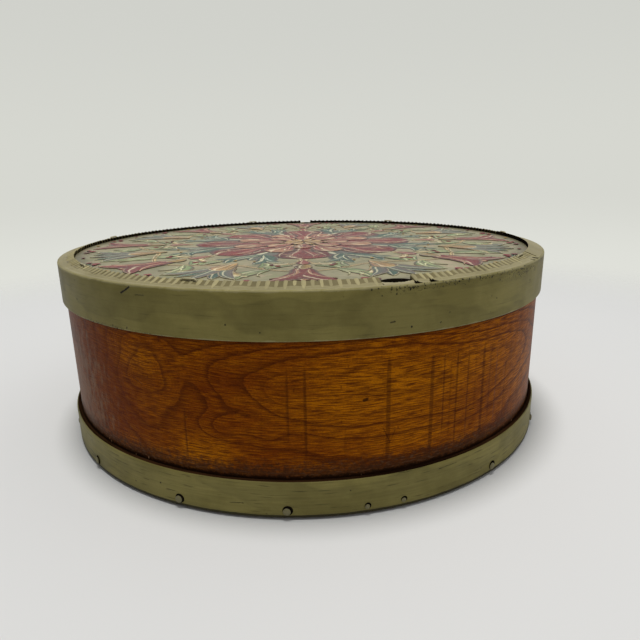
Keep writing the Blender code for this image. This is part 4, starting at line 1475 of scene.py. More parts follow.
@dataclass
class KerfedRim:
    """The lid's inner rim, sawn to teeth so that it bends, its ends butted at the front right."""

    outer: float = 0.1943
    inner: float = 0.1852
    foot: float = 0.1336
    crest: float = 0.1420
    rise: float = 0.0037
    lip: float = 0.0043
    lip_foot: float = 0.1389
    web: float = 0.0010
    pitches: int = 240
    kerf: float = 0.0020
    butt_deg: float = -32.25
    butt_gap: float = 0.0008
    first_kerf: float = 6.4
    last_kerf: float = 218.4
    broken: tuple[BrokenTeeth, ...] = (BrokenTeeth(-76.9, 4), BrokenTeeth(87.6, 2))
    filling: tuple[float, float] = (0.00034, 0.00042)
    chips: tuple[tuple[float, float, float], ...] = ((-71.9, 4.6, 4.8), (-69.0, 5.2, 5.0), (-35.2, 4.0, 4.0), (-37.6, 2.4, 3.0), (100.0, 5.0, 3.4))
    filled_deg: float = -88.0
    filled_spread: float = 30.0

    @property
    def pitch(self) -> float:
        """Return the angle from one tooth to the next."""
        return math.tau / self.pitches

    @property
    def root(self) -> float:
        """Return the radius where the kerfs end."""
        return self.outer - self.web

    def top_at(self, radius: float) -> float:
        """Return the height of the rim's sloping top at a radius."""
        return self.crest - self.rise * (radius - self.inner) / (self.outer - self.inner)

    def tooth(self) -> bpy.types.Object:
        """Return one tooth on the +X side, eased along its upper edges."""
        half = (self.inner * self.pitch - self.kerf) / 2
        seat = self.inner + self.lip
        plan = ((self.inner, 0.50, self.lip_foot), (self.inner + 0.10 * MM, 0.18, self.lip_foot),
                (self.inner + 0.45 * MM, 0.0, self.lip_foot), (seat, 0.0, self.lip_foot),
                (seat + 0.02 * MM, 0.0, self.foot), (self.root + 0.1 * MM, 0.02, self.foot))
        made = MeshLists()
        for radius, drop, foot in plan:
            wide = half * radius / self.inner
            top = self.top_at(radius) - drop * MM
            slope = ((wide, 0.80), (wide - 0.16 * MM, 0.36), (wide - 0.55 * MM, 0.10), (wide * 0.30, 0.0))
            made.points += [(radius, -wide, foot), (radius, wide, foot)]
            made.points += [(radius, y, top - low * MM) for y, low in slope]
            made.points += [(radius, -y, top - low * MM) for y, low in reversed(slope)]
        count = 10
        for k in range(len(plan) - 1):
            for n in range(count):
                a, b = k * count + n, k * count + (n + 1) % count
                made.faces.append((a, b, b + count, a + count))
                # Inner faces take the near-black material: dark wood, partly painted shade.
                made.dress.append(1 if not 2 <= n <= 8 else 0 if k else 2)
        made.faces += [tuple(reversed(range(count))), tuple(range(len(made.points) - count, len(made.points)))]
        made.dress += [2, 0]
        return made.object("tooth_template", ())

    def grow_teeth(self, paint: bpy.types.Material, sawn: bpy.types.Material,
                   dark_and_shaded: bpy.types.Material) -> bpy.types.Object:
        """Return all the teeth, grown round the box by a rule.

        Args:
            paint: Material of their tops.
            sawn: Material inside the kerfs, its darkness partly painted shade.
            dark_and_shaded: Material of the faces towards the middle of the lid, dark wood and partly painted shade.

        Returns:
            The teeth as one object.
        """
        template = self.tooth()
        tree = Grower("teeth_round_the_rim")
        shape = tree.ask("Tooth", template)
        count = tree.ask("Count", round(self.last_kerf - self.first_kerf))
        pitch = tree.ask("Pitch", self.pitch)
        start = tree.ask("First angle", (self.first_kerf + 0.5) * self.pitch)
        loose = tree.ask("Looseness", 0.16 * MM)
        seed = tree.ask("Seed", 5)
        coats = [tree.ask("Paint", paint), tree.ask("Sawn", sawn), tree.ask("Dark and shaded", dark_and_shaded)]
        index = tree.add("GeometryNodeInputIndex").outputs[0]
        angle = tree.math("MULTIPLY_ADD", index, pitch, start)
        points = tree.step("GeometryNodePoints", {"Count": count})
        kept: Input = 1.0
        for gap in self.broken:
            middle = math.radians(gap.degrees % 360) + gap.teeth * self.pitch / 2
            away = tree.math("ABSOLUTE", tree.math("SUBTRACT", angle, middle))
            kept = tree.math("MULTIPLY", kept, tree.math("GREATER_THAN", away, gap.teeth * self.pitch / 2))
        jog = tree.vector("SCALE", tree.chance((-1.0, -0.6, -1.4), (1.0, 0.6, 0.0), seed), loose)
        size = tree.chance((1.0, 0.90, 1.0), (1.0, 1.05, 1.0), tree.math("ADD", seed, 1.0))
        info = tree.step("GeometryNodeObjectInfo", {"Object": shape})
        grown = tree.step("GeometryNodeInstanceOnPoints", {
            "Points": points.outputs[0], "Selection": kept, "Instance": info.outputs["Geometry"],
            "Rotation": tree.turned(tree.join(0.0, 0.0, angle)), "Scale": size})
        moved = tree.step("GeometryNodeTranslateInstances", {
            "Instances": grown.outputs[0], "Translation": jog, "Local Space": True})
        # Each tooth is lighter by a random amount: wear, and partly a painted highlight on the slopes that face the
        # light.
        tinted = tree.step("GeometryNodeStoreNamedAttribute", {
            "Geometry": moved.outputs[0], "Name": "tint",
            "Value": tree.chance_level(0.0, 0.40, tree.math("ADD", seed, 2.0))}, data_type="FLOAT", domain="INSTANCE")
        dress = tree.named("dress")
        tree.close(tinted.outputs[0], [(True, coats[0]), (tree.math("GREATER_THAN", dress, 0.5), coats[1]),
                                       (tree.math("GREATER_THAN", dress, 1.5), coats[2])])
        seedbed = MeshLists(points=[(0.0, 0.0, 0.0)]).object("rim_start", ())
        teeth = tree.grow("kerfed_rim_teeth", seedbed)
        bpy.data.objects.remove(template, do_unlink=True)
        return softened(teeth)

    def plain_outline(self, angle: float) -> list[Point]:
        """Return the whole section of the rim where it has no kerfs."""
        inner = self.inner
        return self.shoulder() + [
            (inner + 0.5 * MM, self.top_at(inner + 0.5 * MM)), (inner + 0.12 * MM, self.top_at(inner) - 0.18 * MM),
            (inner, self.top_at(inner) - 0.55 * MM), (inner, self.lip_foot), (inner + self.lip, self.lip_foot),
            (inner + self.lip, self.foot)]

    def shoulder(self) -> list[Point]:
        """Return the outer part of the section, whose paint has run on to the band."""
        outer, bridge, top = self.outer, self.outer + 1.45 * MM, self.top_at(self.outer)
        return [(outer, self.foot), (outer, top - 1.0 * MM), (bridge, top - 0.8 * MM), (bridge, top + 0.31 * MM),
                (bridge - 0.15 * MM, top + 0.37 * MM), (outer + 0.1 * MM, top + 0.40 * MM)]

    def web_outline(self, angle: float) -> list[Point]:
        """Return the section of the unsawn outer part of the rim."""
        root = self.root
        return self.shoulder() + [(root, self.top_at(root)), (root, self.foot)]

    def filling_outline(self, angle: float) -> list[Point]:
        """Return the section of the paint that has run into the kerfs, fullest at the front."""
        turn = (math.degrees(angle) - self.filled_deg + 180.0) % 360.0 - 180.0
        depth = self.filling[0] + self.filling[1] * (1.0 - math.exp(-(turn / self.filled_spread) ** 2))
        depth += 0.14 * MM * math.sin(angle * 61.0) * math.sin(angle * 17.0)
        near, far = self.inner + 0.45 * MM, self.root + 0.2 * MM
        brim = self.inner + 5.6 * MM + 0.4 * MM * math.sin(angle * 83.0) + 0.3 * MM * math.sin(angle * 37.0)
        return [(far, self.lip_foot - MM), (far, self.top_at(far) - 0.04 * MM), (brim, self.top_at(brim) - 0.14 * MM),
                (brim - 1.6 * MM, self.top_at(brim - 1.6 * MM) - 0.8 * depth), (near, self.top_at(near) - depth), (near, self.lip_foot)]

    def ledge_outline(self, share: float) -> list[Point]:
        """Return the section of torn wood left where teeth broke off, at a share of the gap's length; its near-black
        faces are painted shade of the gap.
        """
        torn = 0.4 * MM * math.sin(share * 23.0) + 0.25 * MM * math.sin(share * 61.0 + 1.0)
        lens = max(math.sin(math.pi * share), 0.0) ** 0.55
        near, far = self.inner + 0.4 * MM - 7.0 * MM * lens, self.root + 0.2 * MM
        edge = self.inner + 0.7 * MM + 4.9 * MM * lens + torn * lens
        return [(far, self.lip_foot - MM), (far, self.top_at(far) - 0.02 * MM), (edge + 0.5 * MM, min(self.top_at(edge) - 0.35 * MM, self.lip_foot + 0.15 * MM)),
                (edge, self.lip_foot + 0.05 * MM), (near, self.lip_foot - 0.18 * MM), (near, self.lip_foot - 0.6 * MM)]

    def chip_outline(self, share: float, reach: float) -> list[Point]:
        """Return the section of a near-black layer over the shoulder, painted shade in a chip, at a share of its
        length.
        """
        lens = max(math.sin(math.pi * share), 0.0) ** 0.6 * (0.85 + 0.15 * math.sin(share * 19.0))
        brow, top = self.outer + 1.9 * MM, self.top_at(self.outer)
        near, shade_film = brow - 0.15 * MM - reach * lens, 0.05 * MM
        rise = max(top + 0.40 * MM, self.top_at(near)) + shade_film * lens
        return [(brow, top), (brow, top + 0.33 * MM), (brow - 0.15 * MM, top + 0.37 * MM + shade_film * lens), (near, rise),
                (near, rise - 0.3 * MM), (near + 0.01 * MM, top - 0.3 * MM)]

    def build(self, paint: bpy.types.Material, kerf_paint_and_shade: bpy.types.Material) -> bpy.types.Object:
        """Return the rim as one piece.

        Args:
            paint: Paint on its top.
            kerf_paint_and_shade: Darker paint down in the kerfs, partly painted shade of the kerfs.

        Returns:
            The piece.
        """
        dark_and_shaded = BareWood("dark_and_shaded_wood", WoodAge.DARK_AND_SHADED).material()
        torn = OlivePaint("torn_rim", PaintPlace.SOLID, olive=(0.300, 0.260, 0.140), shade=(0.200, 0.165, 0.080)).material()
        edge = self.kerf / 2 / self.root
        first, last = self.first_kerf * self.pitch, self.last_kerf * self.pitch
        butt = math.radians(self.butt_deg)
        gap = self.butt_gap / 2 / self.outer
        overlap = 0.2 * MM / self.outer
        steps = 960
        # Inner faces, and the filling's inner end seen between the teeth, take the near-black material: partly painted
        # shade.
        plain = [0, 0, 0, 0, 0, 0, 0, 1, 1, 1, 1, 1]
        filled, coats = [1, 1, 0, 0, 2, 0], (kerf_paint_and_shade, paint, dark_and_shaded)
        parts = [self.grow_teeth(paint, kerf_paint_and_shade, dark_and_shaded)]
        parts.append(swept(self.plain_outline, plain, butt + gap, first - edge, steps).object("rim_plain", (paint, dark_and_shaded)))
        parts.append(swept(self.plain_outline, plain, last + edge, butt + math.tau - gap, steps).object("rim_end", (paint, dark_and_shaded)))
        parts.append(swept(self.web_outline, [0, 0, 0, 0, 0, 0, 0, 1], first - edge - overlap, last + edge + overlap, steps).object(
            "rim_web", (paint, dark_and_shaded)))
        gaps = sorted((math.radians(b.degrees % 360), b.teeth * self.pitch) for b in self.broken)
        start = first - edge - overlap
        for begin, length in gaps:
            parts.append(swept(self.filling_outline, filled, start, begin - edge, steps).object("rim_filling", coats))
            # The torn ledge's near-black faces are painted shade of the gap.
            parts.append(swept(lambda angle: self.ledge_outline((angle - begin) / length), [0, 0, 1, 1, 1, 1], begin, begin + length,
                               steps * 4).object("rim_torn", (torn, dark_and_shaded)))
            start = begin + length + edge
        parts.append(swept(self.filling_outline, filled, start, last + edge + overlap, steps).object("rim_filling", coats))
        # Near-black layers over the shoulder are painted shade inside chips.
        for degrees, length, reach in self.chips:
            begin, turn = math.radians(degrees % 360), length * MM / self.outer
            parts.append(swept(lambda angle: self.chip_outline((angle - begin) / turn, reach * MM), [0] * 6, begin, begin + turn,
                               steps * 6).object("rim_chip", (dark_and_shaded,)))
        return joined("kerf_bent_rim", parts)


@dataclass
class Staples:
    """Wire staples that hold the rim to the panel.

    Attributes:
        degrees: Angles of their middles.
        pitch: Angle between neighbouring kerfs.
        radius: Radius that they stand on.
        crown: Height of the wire's middle.
        foot: Height that the legs reach down to.
        wire: Radius of the wire.
    """

    degrees: tuple[float, ...] = (6.75, 57.75, 108.75, 165.75, -141.75, -109.75, -38.25)
    pitch: float = math.tau / 240
    radius: float = 0.1872
    crown: float = 0.14189
    foot: float = 0.1351
    wire: float = 0.0006

    def build(self, metal: bpy.types.Material) -> bpy.types.Object:
        """Return the staples as one piece of bent wire.

        Args:
            metal: Their material.

        Returns:
            The piece.
        """
        tree = Grower("bent_wire")
        wire = tree.ask("Wire radius", self.wire)
        bend = tree.ask("Bend radius", self.wire * 1.7)
        steel = tree.ask("Steel", metal)
        path = tree.step("GeometryNodeMeshToCurve", {"Mesh": tree.start.outputs[0]})
        bent = tree.step("GeometryNodeFilletCurve", {"Curve": path.outputs[0], "Radius": bend})
        ring = tree.step("GeometryNodeCurvePrimitiveCircle", {"Resolution": 10, "Radius": wire})
        solid = tree.step("GeometryNodeCurveToMesh", {
            "Curve": bent.outputs[0], "Profile Curve": ring.outputs[0], "Fill Caps": True})
        tree.close(solid.outputs[0], [(True, steel)])
        mesh = bpy.data.meshes.new("staple_paths")
        points: list[tuple[float, float, float]] = []
        edges: list[tuple[int, int]] = []
        for degrees in self.degrees:
            tooth = math.floor(math.radians(degrees) / self.pitch) + 0.5
            for angle, height in ((tooth - 1, self.foot), (tooth - 1, self.crown), (tooth + 1, self.crown), (tooth + 1, self.foot)):
                turn = angle * self.pitch
                points.append((self.radius * math.cos(turn), self.radius * math.sin(turn), height))
            first = len(points) - 4
            edges += [(first, first + 1), (first + 1, first + 2), (first + 2, first + 3)]
        mesh.from_pydata(points, edges, [])
        return softened(tree.grow("rim_staples_wire", placed("staple_paths", mesh)), 50.0)


# The lid's painted pattern


class Brush(Enum):
    """How wide a stroke is from its start (0) to its end (1), as a share of its belly."""

    LEAF = "leaf"
    PETAL = "petal"
    COMMA = "comma"
    LINE = "line"

    def width(self, share: float) -> float:
        """Return the share of the belly at this share of the length."""
        if self is Brush.LEAF:
            return max(math.sin(math.pi * share ** 0.85), 0.0) ** 0.68
        if self is Brush.PETAL:
            return max(share * 1.28, 0.04) ** 0.75 if share < 0.70 else math.sqrt(max(1.0 - ((share - 0.70) / 0.305) ** 2, 0.0))
        if self is Brush.COMMA:
            return math.sqrt(max(1.0 - ((0.22 - share) / 0.225) ** 2, 0.0)) if share < 0.22 else ((1.0 - share) / 0.78) ** 0.8
        return 1.0


def pigment(red: float, green: float, blue: float) -> Colour:
    """Return the linear colour of paint whose sheen has been taken off a screen colour.

    Args:
        red: Red level, 0 to 255.
        green: Green level, 0 to 255.
        blue: Blue level, 0 to 255.

    Returns:
        The linear colour.
    """
    return tuple(max(level - SHEEN, 0.006) * PIGMENT for level in screen(red, green, blue))


SHEEN = 0.030
PIGMENT = 0.84


class Tone(Enum):
    """Colours of the pattern."""

    CRIMSON = pigment(132, 62, 61)
    MADDER = pigment(108, 45, 50)
    WINE = pigment(92, 44, 52)
    ROSE = pigment(143, 89, 80)
    PEACH = pigment(178, 139, 106)
    CREAM = pigment(222, 212, 170)
    OCHRE = pigment(168, 138, 84)
    TEAL = pigment(76, 101, 87)
    DEEP_TEAL = pigment(54, 73, 65)
    PALE_TEAL = pigment(150, 166, 148)
    SAGE = pigment(112, 130, 90)
    PALE_SAGE = pigment(156, 166, 116)
    VIOLET = pigment(116, 104, 98)
    UMBER = pigment(78, 62, 44)


@dataclass(frozen=True)
class Stroke:
    """One brush stroke, laid out from the middle of the lid.

    Attributes:
        start: Where it starts, as (radius in millimetres, degrees off the sector's middle).
        end: Where it ends.
        belly: Half its greatest width in millimetres.
        bow: How far its middle bows to the left, as a share of its length.
        brush: How its width runs.
        tones: Colours of its left and right edges.
        layer: Coat of paint that it lies in.
    """

    start: Point
    end: Point
    belly: float
    bow: float
    brush: Brush
    tones: tuple[Tone, Tone]
    layer: int

    def spine(self, pieces: int = 14) -> list[tuple[Vector, Vector, float]]:
        """Return points along its middle, with the direction to the left and the half width."""
        first, last = (Vector((r * MM * math.cos(math.radians(a)), r * MM * math.sin(math.radians(a)))) for r, a in (self.start, self.end))
        run = last - first
        side = Vector((-run.y, run.x))
        if self.brush is Brush.LINE:
            pieces = 8
        found = []
        for k in range(pieces + 1):
            share = k / pieces
            middle = first + run * share + side * self.bow * 4.0 * share * (1.0 - share)
            heading = (run + side * self.bow * 4.0 * (1.0 - 2.0 * share)).normalized()
            found.append((middle, Vector((-heading.y, heading.x)), max(self.belly * MM * self.brush.width(share), 0.05 * MM)))
        return found

    def mirrored(self) -> "Stroke":
        """Return the stroke on the other side of the sector's middle."""
        flip = [(r, -a) for r, a in (self.start, self.end)]
        return Stroke(flip[0], flip[1], self.belly, -self.bow, self.brush, self.tones[::-1], self.layer)


def edged(stroke: Stroke, tone: Tone, margin: float) -> list[Stroke]:
    """Return a stroke lying on a slightly larger one.

    Args:
        stroke: The upper stroke, one coat above the layer that it names.
        tone: Colour of the edge that shows round it.
        margin: Width of the edge in millimetres.

    Returns:
        The larger stroke and the upper one.
    """
    grown = replace(stroke, belly=stroke.belly + margin, tones=(tone, tone),
                    end=(stroke.end[0] + math.copysign(margin, stroke.end[0] - stroke.start[0]), stroke.end[1]))
    return [grown, replace(stroke, layer=stroke.layer + 1)]


def both(*strokes: Stroke) -> list[Stroke]:
    """Return strokes together with their mirror images."""
    return [*strokes, *(stroke.mirrored() for stroke in strokes)]


def waved(radius: float, swing: float, folds: int, tones: tuple[Tone, Tone], belly: float, layer: int) -> list[Stroke]:
    """Return one sector of a line that swings in and out round the lid.

    Args:
        radius: Its middle radius in millimetres.
        swing: How far it swings.
        folds: Swings in a full turn.
        tones: Its colours.
        belly: Half its width.
        layer: Coat of paint that it lies in.

    Returns:
        Its strokes.
    """
    pieces = 10
    edge = 180.0 / folds
    angles = [edge * (2.0 * k / pieces - 1.0) for k in range(pieces + 1)]
    places = [(radius + swing * math.cos(math.radians(a) * folds), a) for a in angles]
    return [Stroke(first, (last[0], last[1] + 0.05), belly, 0.0, Brush.LINE, tones, layer) for first, last in zip(places, places[1:])]


@dataclass
class FolkPainting:
    """A traditional kind of flower pattern: a round rose, a swinging vine, tulips and bells."""

    panel_top: float = 0.1386
    coat: float = 0.05 * MM
    wobble: float = 0.9 * MM
    sectors: int = 8
    first_deg: float = -90.0

    def rose(self) -> list[Stroke]:
        """Return one sector of the round rose in the middle."""
        c, m, w, r, p = Tone.CRIMSON, Tone.MADDER, Tone.WINE, Tone.ROSE, Tone.PEACH
        strokes = edged(Stroke((46, 22.5), (101, 22.5), 13.0, 0.0, Brush.LEAF, (Tone.VIOLET, Tone.TEAL), 0), Tone.DEEP_TEAL, 1.0)
        strokes += edged(Stroke((34, 0), (92, 0), 22.5, 0.0, Brush.PETAL, (c, m), 2), w, 1.4)
        strokes += both(Stroke((46, 5), (84, 11.5), 5.0, 0.10, Brush.LEAF, (m, w), 4),
                        Stroke((52, 1.0), (84, 5.5), 3.2, 0.05, Brush.LEAF, (r, c), 4),
                        Stroke((60, 8), (88, 7.0), 1.0, 0.06, Brush.COMMA, (w, m), 5),
                        Stroke((72, 13), (87, 5.0), 1.5, -0.16, Brush.COMMA, (r, p), 5))
        strokes += edged(Stroke((22, 22.5), (62, 22.5), 13.5, 0.0, Brush.PETAL, (p, r), 6), w, 1.2)
        strokes += both(Stroke((30, 25), (56, 29), 3.0, 0.12, Brush.LEAF, (r, c), 8),
                        Stroke((44, 20), (59, 15.5), 1.6, -0.1, Brush.COMMA, (Tone.CREAM, p), 8))
        strokes += [Stroke((30, 22.5), (52, 22.5), 2.6, 0.0, Brush.COMMA, (c, r), 8)]
        strokes += edged(Stroke((12, 0), (39, 0), 9.5, 0.0, Brush.PETAL, (r, p), 9), w, 0.9)
        strokes += [Stroke((20, 0), (35, 0), 3.0, 0.0, Brush.LEAF, (c, r), 11)]
        strokes += edged(Stroke((2, 22.5), (17, 22.5), 4.6, 0.0, Brush.PETAL, (Tone.OCHRE, p), 11), Tone.UMBER, 0.7)
        return strokes

    def leaves(self) -> list[Stroke]:
        """Return one sector of the leaves and scrolls round the rose."""
        t, d, l, k, o = Tone.TEAL, Tone.DEEP_TEAL, Tone.PALE_TEAL, Tone.CREAM, Tone.OCHRE
        strokes = []
        for side in (-1, 1):
            leaf = Stroke((76, 22.5 - side * 0.6), (118, 22.5 + side * 5.2), 7.0, side * 0.15, Brush.LEAF, (t, d), 1)
            curl = Stroke((86, 22.5 + side * 3.5), (108, 22.5 + side * 15.0), 5.2, -side * 0.20, Brush.LEAF, (d, t), 1)
            strokes += edged(leaf, l, 0.9) + edged(curl, k, 0.9)
            strokes += [Stroke((84, 22.5 + side * 1.2), (110, 22.5 + side * 5.0), 0.8, side * 0.10, Brush.LEAF, (k, l), 3),
                        Stroke((91, 22.5 + side * 5.8), (104, 22.5 + side * 12.5), 0.8, -side * 0.16, Brush.LEAF, (l, l), 3),
                        Stroke((88, 22.5 + side * 3.0), (100, 22.5 + side * 6.4), 1.1, side * 0.12, Brush.COMMA, (l, t), 3)]
        strokes += both(Stroke((96, 1.2), (120, 10.0), 3.0, -0.24, Brush.COMMA, (k, o), 2),
                        Stroke((98, 2.0), (117, 9.4), 1.1, -0.24, Brush.COMMA, (o, Tone.UMBER), 3),
                        Stroke((118, 10.4), (109, 5.5), 2.4, 0.32, Brush.COMMA, (o, k), 3))
        strokes += edged(Stroke((97, 0), (116, 0), 5.0, 0.0, Brush.PETAL, (Tone.ROSE, Tone.CRIMSON), 3), Tone.MADDER, 0.8)
        return strokes

    def vine(self) -> list[Stroke]:
        """Return one sector of the vine and its leaves."""
        s, p, u, k = Tone.SAGE, Tone.PALE_SAGE, Tone.UMBER, Tone.CREAM
        strokes = waved(133.0, 9.0, self.sectors, (Tone.OCHRE, k), 1.9, 2)
        strokes += waved(133.6, 9.0, self.sectors, (u, Tone.OCHRE), 0.6, 3)
        for leaf, rib in ((Stroke((137, 8.6), (170, 13.6), 6.0, 0.17, Brush.LEAF, (s, p), 4), 0.14),
                          (Stroke((131, 13.0), (112, 14.5), 4.6, 0.20, Brush.LEAF, (p, s), 4), 0.16),
                          (Stroke((135, 10.0), (122, 3.6), 4.0, -0.20, Brush.LEAF, (s, p), 4), -0.16)):
            middle = Stroke(leaf.start, leaf.end, leaf.belly * 0.17, rib, Brush.LEAF, (u, s), 6)
            strokes += both(*edged(leaf, k if leaf.belly > 5 else Tone.UMBER, 0.7), middle)
        strokes += both(Stroke((148, 10.6), (158, 14.6), 0.8, 0.2, Brush.COMMA, (k, p), 7),
                        Stroke((146, 9.6), (160, 9.4), 0.8, 0.2, Brush.COMMA, (k, p), 7))
        return strokes

    def flowers(self) -> list[Stroke]:
        """Return one sector of the tulips and thistles on the vine."""
        c, m, w, r, p, k, o = Tone.CRIMSON, Tone.MADDER, Tone.WINE, Tone.ROSE, Tone.PEACH, Tone.CREAM, Tone.OCHRE
        strokes = edged(Stroke((132, 0), (171, 0), 9.0, 0.0, Brush.PETAL, (p, r), 6), m, 0.9)
        strokes += both(*edged(Stroke((128, 0.4), (176, 7.2), 8.4, -0.20, Brush.LEAF, (c, m), 8), p, 0.9),
                        Stroke((136, 2.0), (168, 6.8), 1.6, -0.20, Brush.LEAF, (r, p), 10),
                        Stroke((146, 2.2), (164, 3.6), 0.9, -0.10, Brush.COMMA, (w, m), 10))
        strokes += [Stroke((148, 0), (166, 0), 1.8, 0.0, Brush.COMMA, (c, r), 8)]
        strokes += edged(Stroke((120, 0), (136, 0), 5.6, 0.0, Brush.LEAF, (o, Tone.UMBER), 10), k, 0.7)
        turn = 22.5
        for fan in (-2, -1, 0, 1, 2):
            petal = Stroke((136, turn + fan * 1.2), (174 - 2.6 * abs(fan), turn + fan * 4.4), 4.6, -fan * 0.06, Brush.LEAF,
                           (Tone.TEAL, Tone.DEEP_TEAL) if fan % 2 else (Tone.VIOLET, Tone.TEAL), 6 if fan % 2 else 8)
            strokes += edged(petal, k, 0.7)
        for side in (-1, 1):
            strokes += edged(Stroke((126, turn + side * 0.8), (160, turn + side * 10.6), 5.2, -side * 0.24, Brush.LEAF, (o, k), 4), k, 0.8)
            strokes += [Stroke((134, turn + side * 3.6), (154, turn + side * 9.8), 1.3, -side * 0.20, Brush.LEAF, (Tone.UMBER, o), 6)]
        strokes += edged(Stroke((118, turn), (146, turn), 8.6, 0.0, Brush.PETAL, (o, p), 10), k, 0.9)
        strokes += [Stroke((124, turn + side * 1.1), (142, turn + side * 1.9), 0.8, 0.0, Brush.LEAF, (Tone.UMBER, o), 12)
                    for side in (-1, 0, 1)]
        strokes += [Stroke((179.5, angle), (180.5, angle + 2.0), 1.8, 0.12, Brush.COMMA, (Tone.TEAL, Tone.DEEP_TEAL), 2)
                    for angle in (8.0, 11.0, 32.0, 35.0)]
        return strokes

    def template(self, strokes: Sequence[Stroke]) -> bpy.types.Object:
        """Return one sector's strokes as thin closed slabs on the +X side.

        Args:
            strokes: The strokes.

        Returns:
            The object, with the map and tones that the paint reads.
        """
        lists = MeshLists(levels={"across": []})
        tones: list[tuple[float, float, float, float]] = []
        across = (-1.0, -0.5, 0.0, 0.5, 1.0)
        length = 0.0
        for stroke in strokes:
            top = self.panel_top + self.coat * (stroke.layer + 1)
            spine = stroke.spine()
            first = len(lists.points)
            left, right = (Vector(tone.value) for tone in stroke.tones)
            before = spine[0][0]
            for middle, side, half in spine:
                length += (middle - before).length
                before = middle
                rows = [(s, top + self.coat * 0.4 * (1.0 - s * s)) for s in across]
                rows += [(0.97, self.panel_top - self.coat), (-0.97, self.panel_top - self.coat)]
                for s, height in rows:
                    at = middle + side * half * s
                    lists.points.append((at.x, at.y, height))
                    lists.maps.append((length, half * s + stroke.layer * 0.1))
                    lists.levels["across"].append(s)
                    tones.append((*right.lerp(left, (s + 1.0) / 2.0), 1.0))
            length += 0.013
            count = len(across) + 2
            for k in range(len(spine) - 1):
                for n in range(count):
                    a, b = first + k * count + n, first + k * count + (n + 1) % count
                    lists.faces.append((a, b, b + count, a + count)[::-1])
            lists.faces.append(tuple(range(first, first + count)))
            lists.faces.append(tuple(reversed(range(len(lists.points) - count, len(lists.points)))))
        made = lists.object("sector_template", ())
        made.data.attributes.new("tone", "FLOAT_COLOR", "POINT").data.foreach_set("color", np.array(tones, np.float32).ravel())
        return made

    def spin(self, name: str, strokes: Sequence[Stroke], paint: bpy.types.Material) -> bpy.types.Object:
        """Repeat a sector round the lid, each copy a little different as a hand would paint it.

        Args:
            name: The piece's name.
            strokes: The sector's strokes.
            paint: The paint.

        Returns:
            The piece.
        """
        template = self.template(strokes)
        tree = Grower("sectors_round_the_lid")
        shape = tree.ask("Sector", template)
        count = tree.ask("Count", self.sectors)
        first = tree.ask("First angle", math.radians(self.first_deg))
        wobble = tree.ask("Wobble", self.wobble)
        lift = tree.ask("Lift", self.coat / 2)
        seed = tree.ask("Seed", 23)
        coat = tree.ask("Paint", paint)
        index = tree.add("GeometryNodeInputIndex").outputs[0]
        angle = tree.math("ADD", tree.math("DIVIDE", tree.math("MULTIPLY", index, math.tau), count), first)
        angle = tree.math("ADD", angle, tree.chance_level(-0.008, 0.008, seed))
        place = tree.join(0.0, 0.0, tree.math("MULTIPLY", tree.math("MODULO", index, 2.0), lift))
        points = tree.step("GeometryNodePoints", {"Count": count, "Position": place})
        info = tree.step("GeometryNodeObjectInfo", {"Object": shape})
        grown = tree.step("GeometryNodeInstanceOnPoints", {
            "Points": points.outputs[0], "Instance": info.outputs["Geometry"],
            "Rotation": tree.turned(tree.join(0.0, 0.0, angle))})
        shaded = tree.step("GeometryNodeStoreNamedAttribute", {
            "Geometry": grown.outputs[0], "Name": "tint",
            "Value": tree.chance_level(-0.12, 0.12, tree.math("ADD", seed, 1.0))}, data_type="FLOAT", domain="INSTANCE")
        real = tree.step("GeometryNodeRealizeInstances", {"Geometry": shaded.outputs[0]})
        where = tree.add("GeometryNodeInputPosition").outputs[0]
        sway = tree.add("ShaderNodeTexNoise")
        tree.feed(sway.inputs["Vector"], tree.vector("MULTIPLY", where, (1.0, 1.0, 0.0)))
        tree.feed(sway.inputs["Scale"], 55.0)
        off = tree.vector("MULTIPLY", tree.vector("SUBTRACT", sway.outputs["Color"], (0.5, 0.5, 0.5)), (4.0, 4.0, 0.0))
        swayed = tree.step("GeometryNodeSetPosition", {
            "Geometry": real.outputs[0], "Offset": tree.vector("SCALE", off, wobble)})
        tree.close(swayed.outputs[0], [(True, coat)])
        piece = tree.grow(name, MeshLists(points=[(0.0, 0.0, 0.0)]).object("lid_start", ()))
        bpy.data.objects.remove(template, do_unlink=True)
        return softened(piece, 60.0)

    def dots(self) -> list[tuple[Point, float, Tone]]:
        """Return one sector's berries and dots as place, radius in millimetres and tone."""
        found: list[tuple[Point, float, Tone]] = []
        for side in (-1, 1):
            found += [((17.5, 11.25 * side), 1.5, Tone.WINE), ((174.0, 11.4 * side), 2.6, Tone.CRIMSON),
                      ((178.5, 13.4 * side), 2.3, Tone.MADDER), ((177.5, 9.6 * side), 2.1, Tone.CRIMSON),
                      ((125.0, 8.2 * side), 2.2, Tone.CRIMSON), ((121.0, 10.0 * side), 1.8, Tone.MADDER),
                      ((108.0, 18.6 * side), 1.4, Tone.OCHRE)]
        found += [((0.5, 0.0), 1.0, Tone.WINE), ((179.5, 0.0), 1.8, Tone.OCHRE), ((179.5, 22.5), 1.8, Tone.MADDER)]
        return found

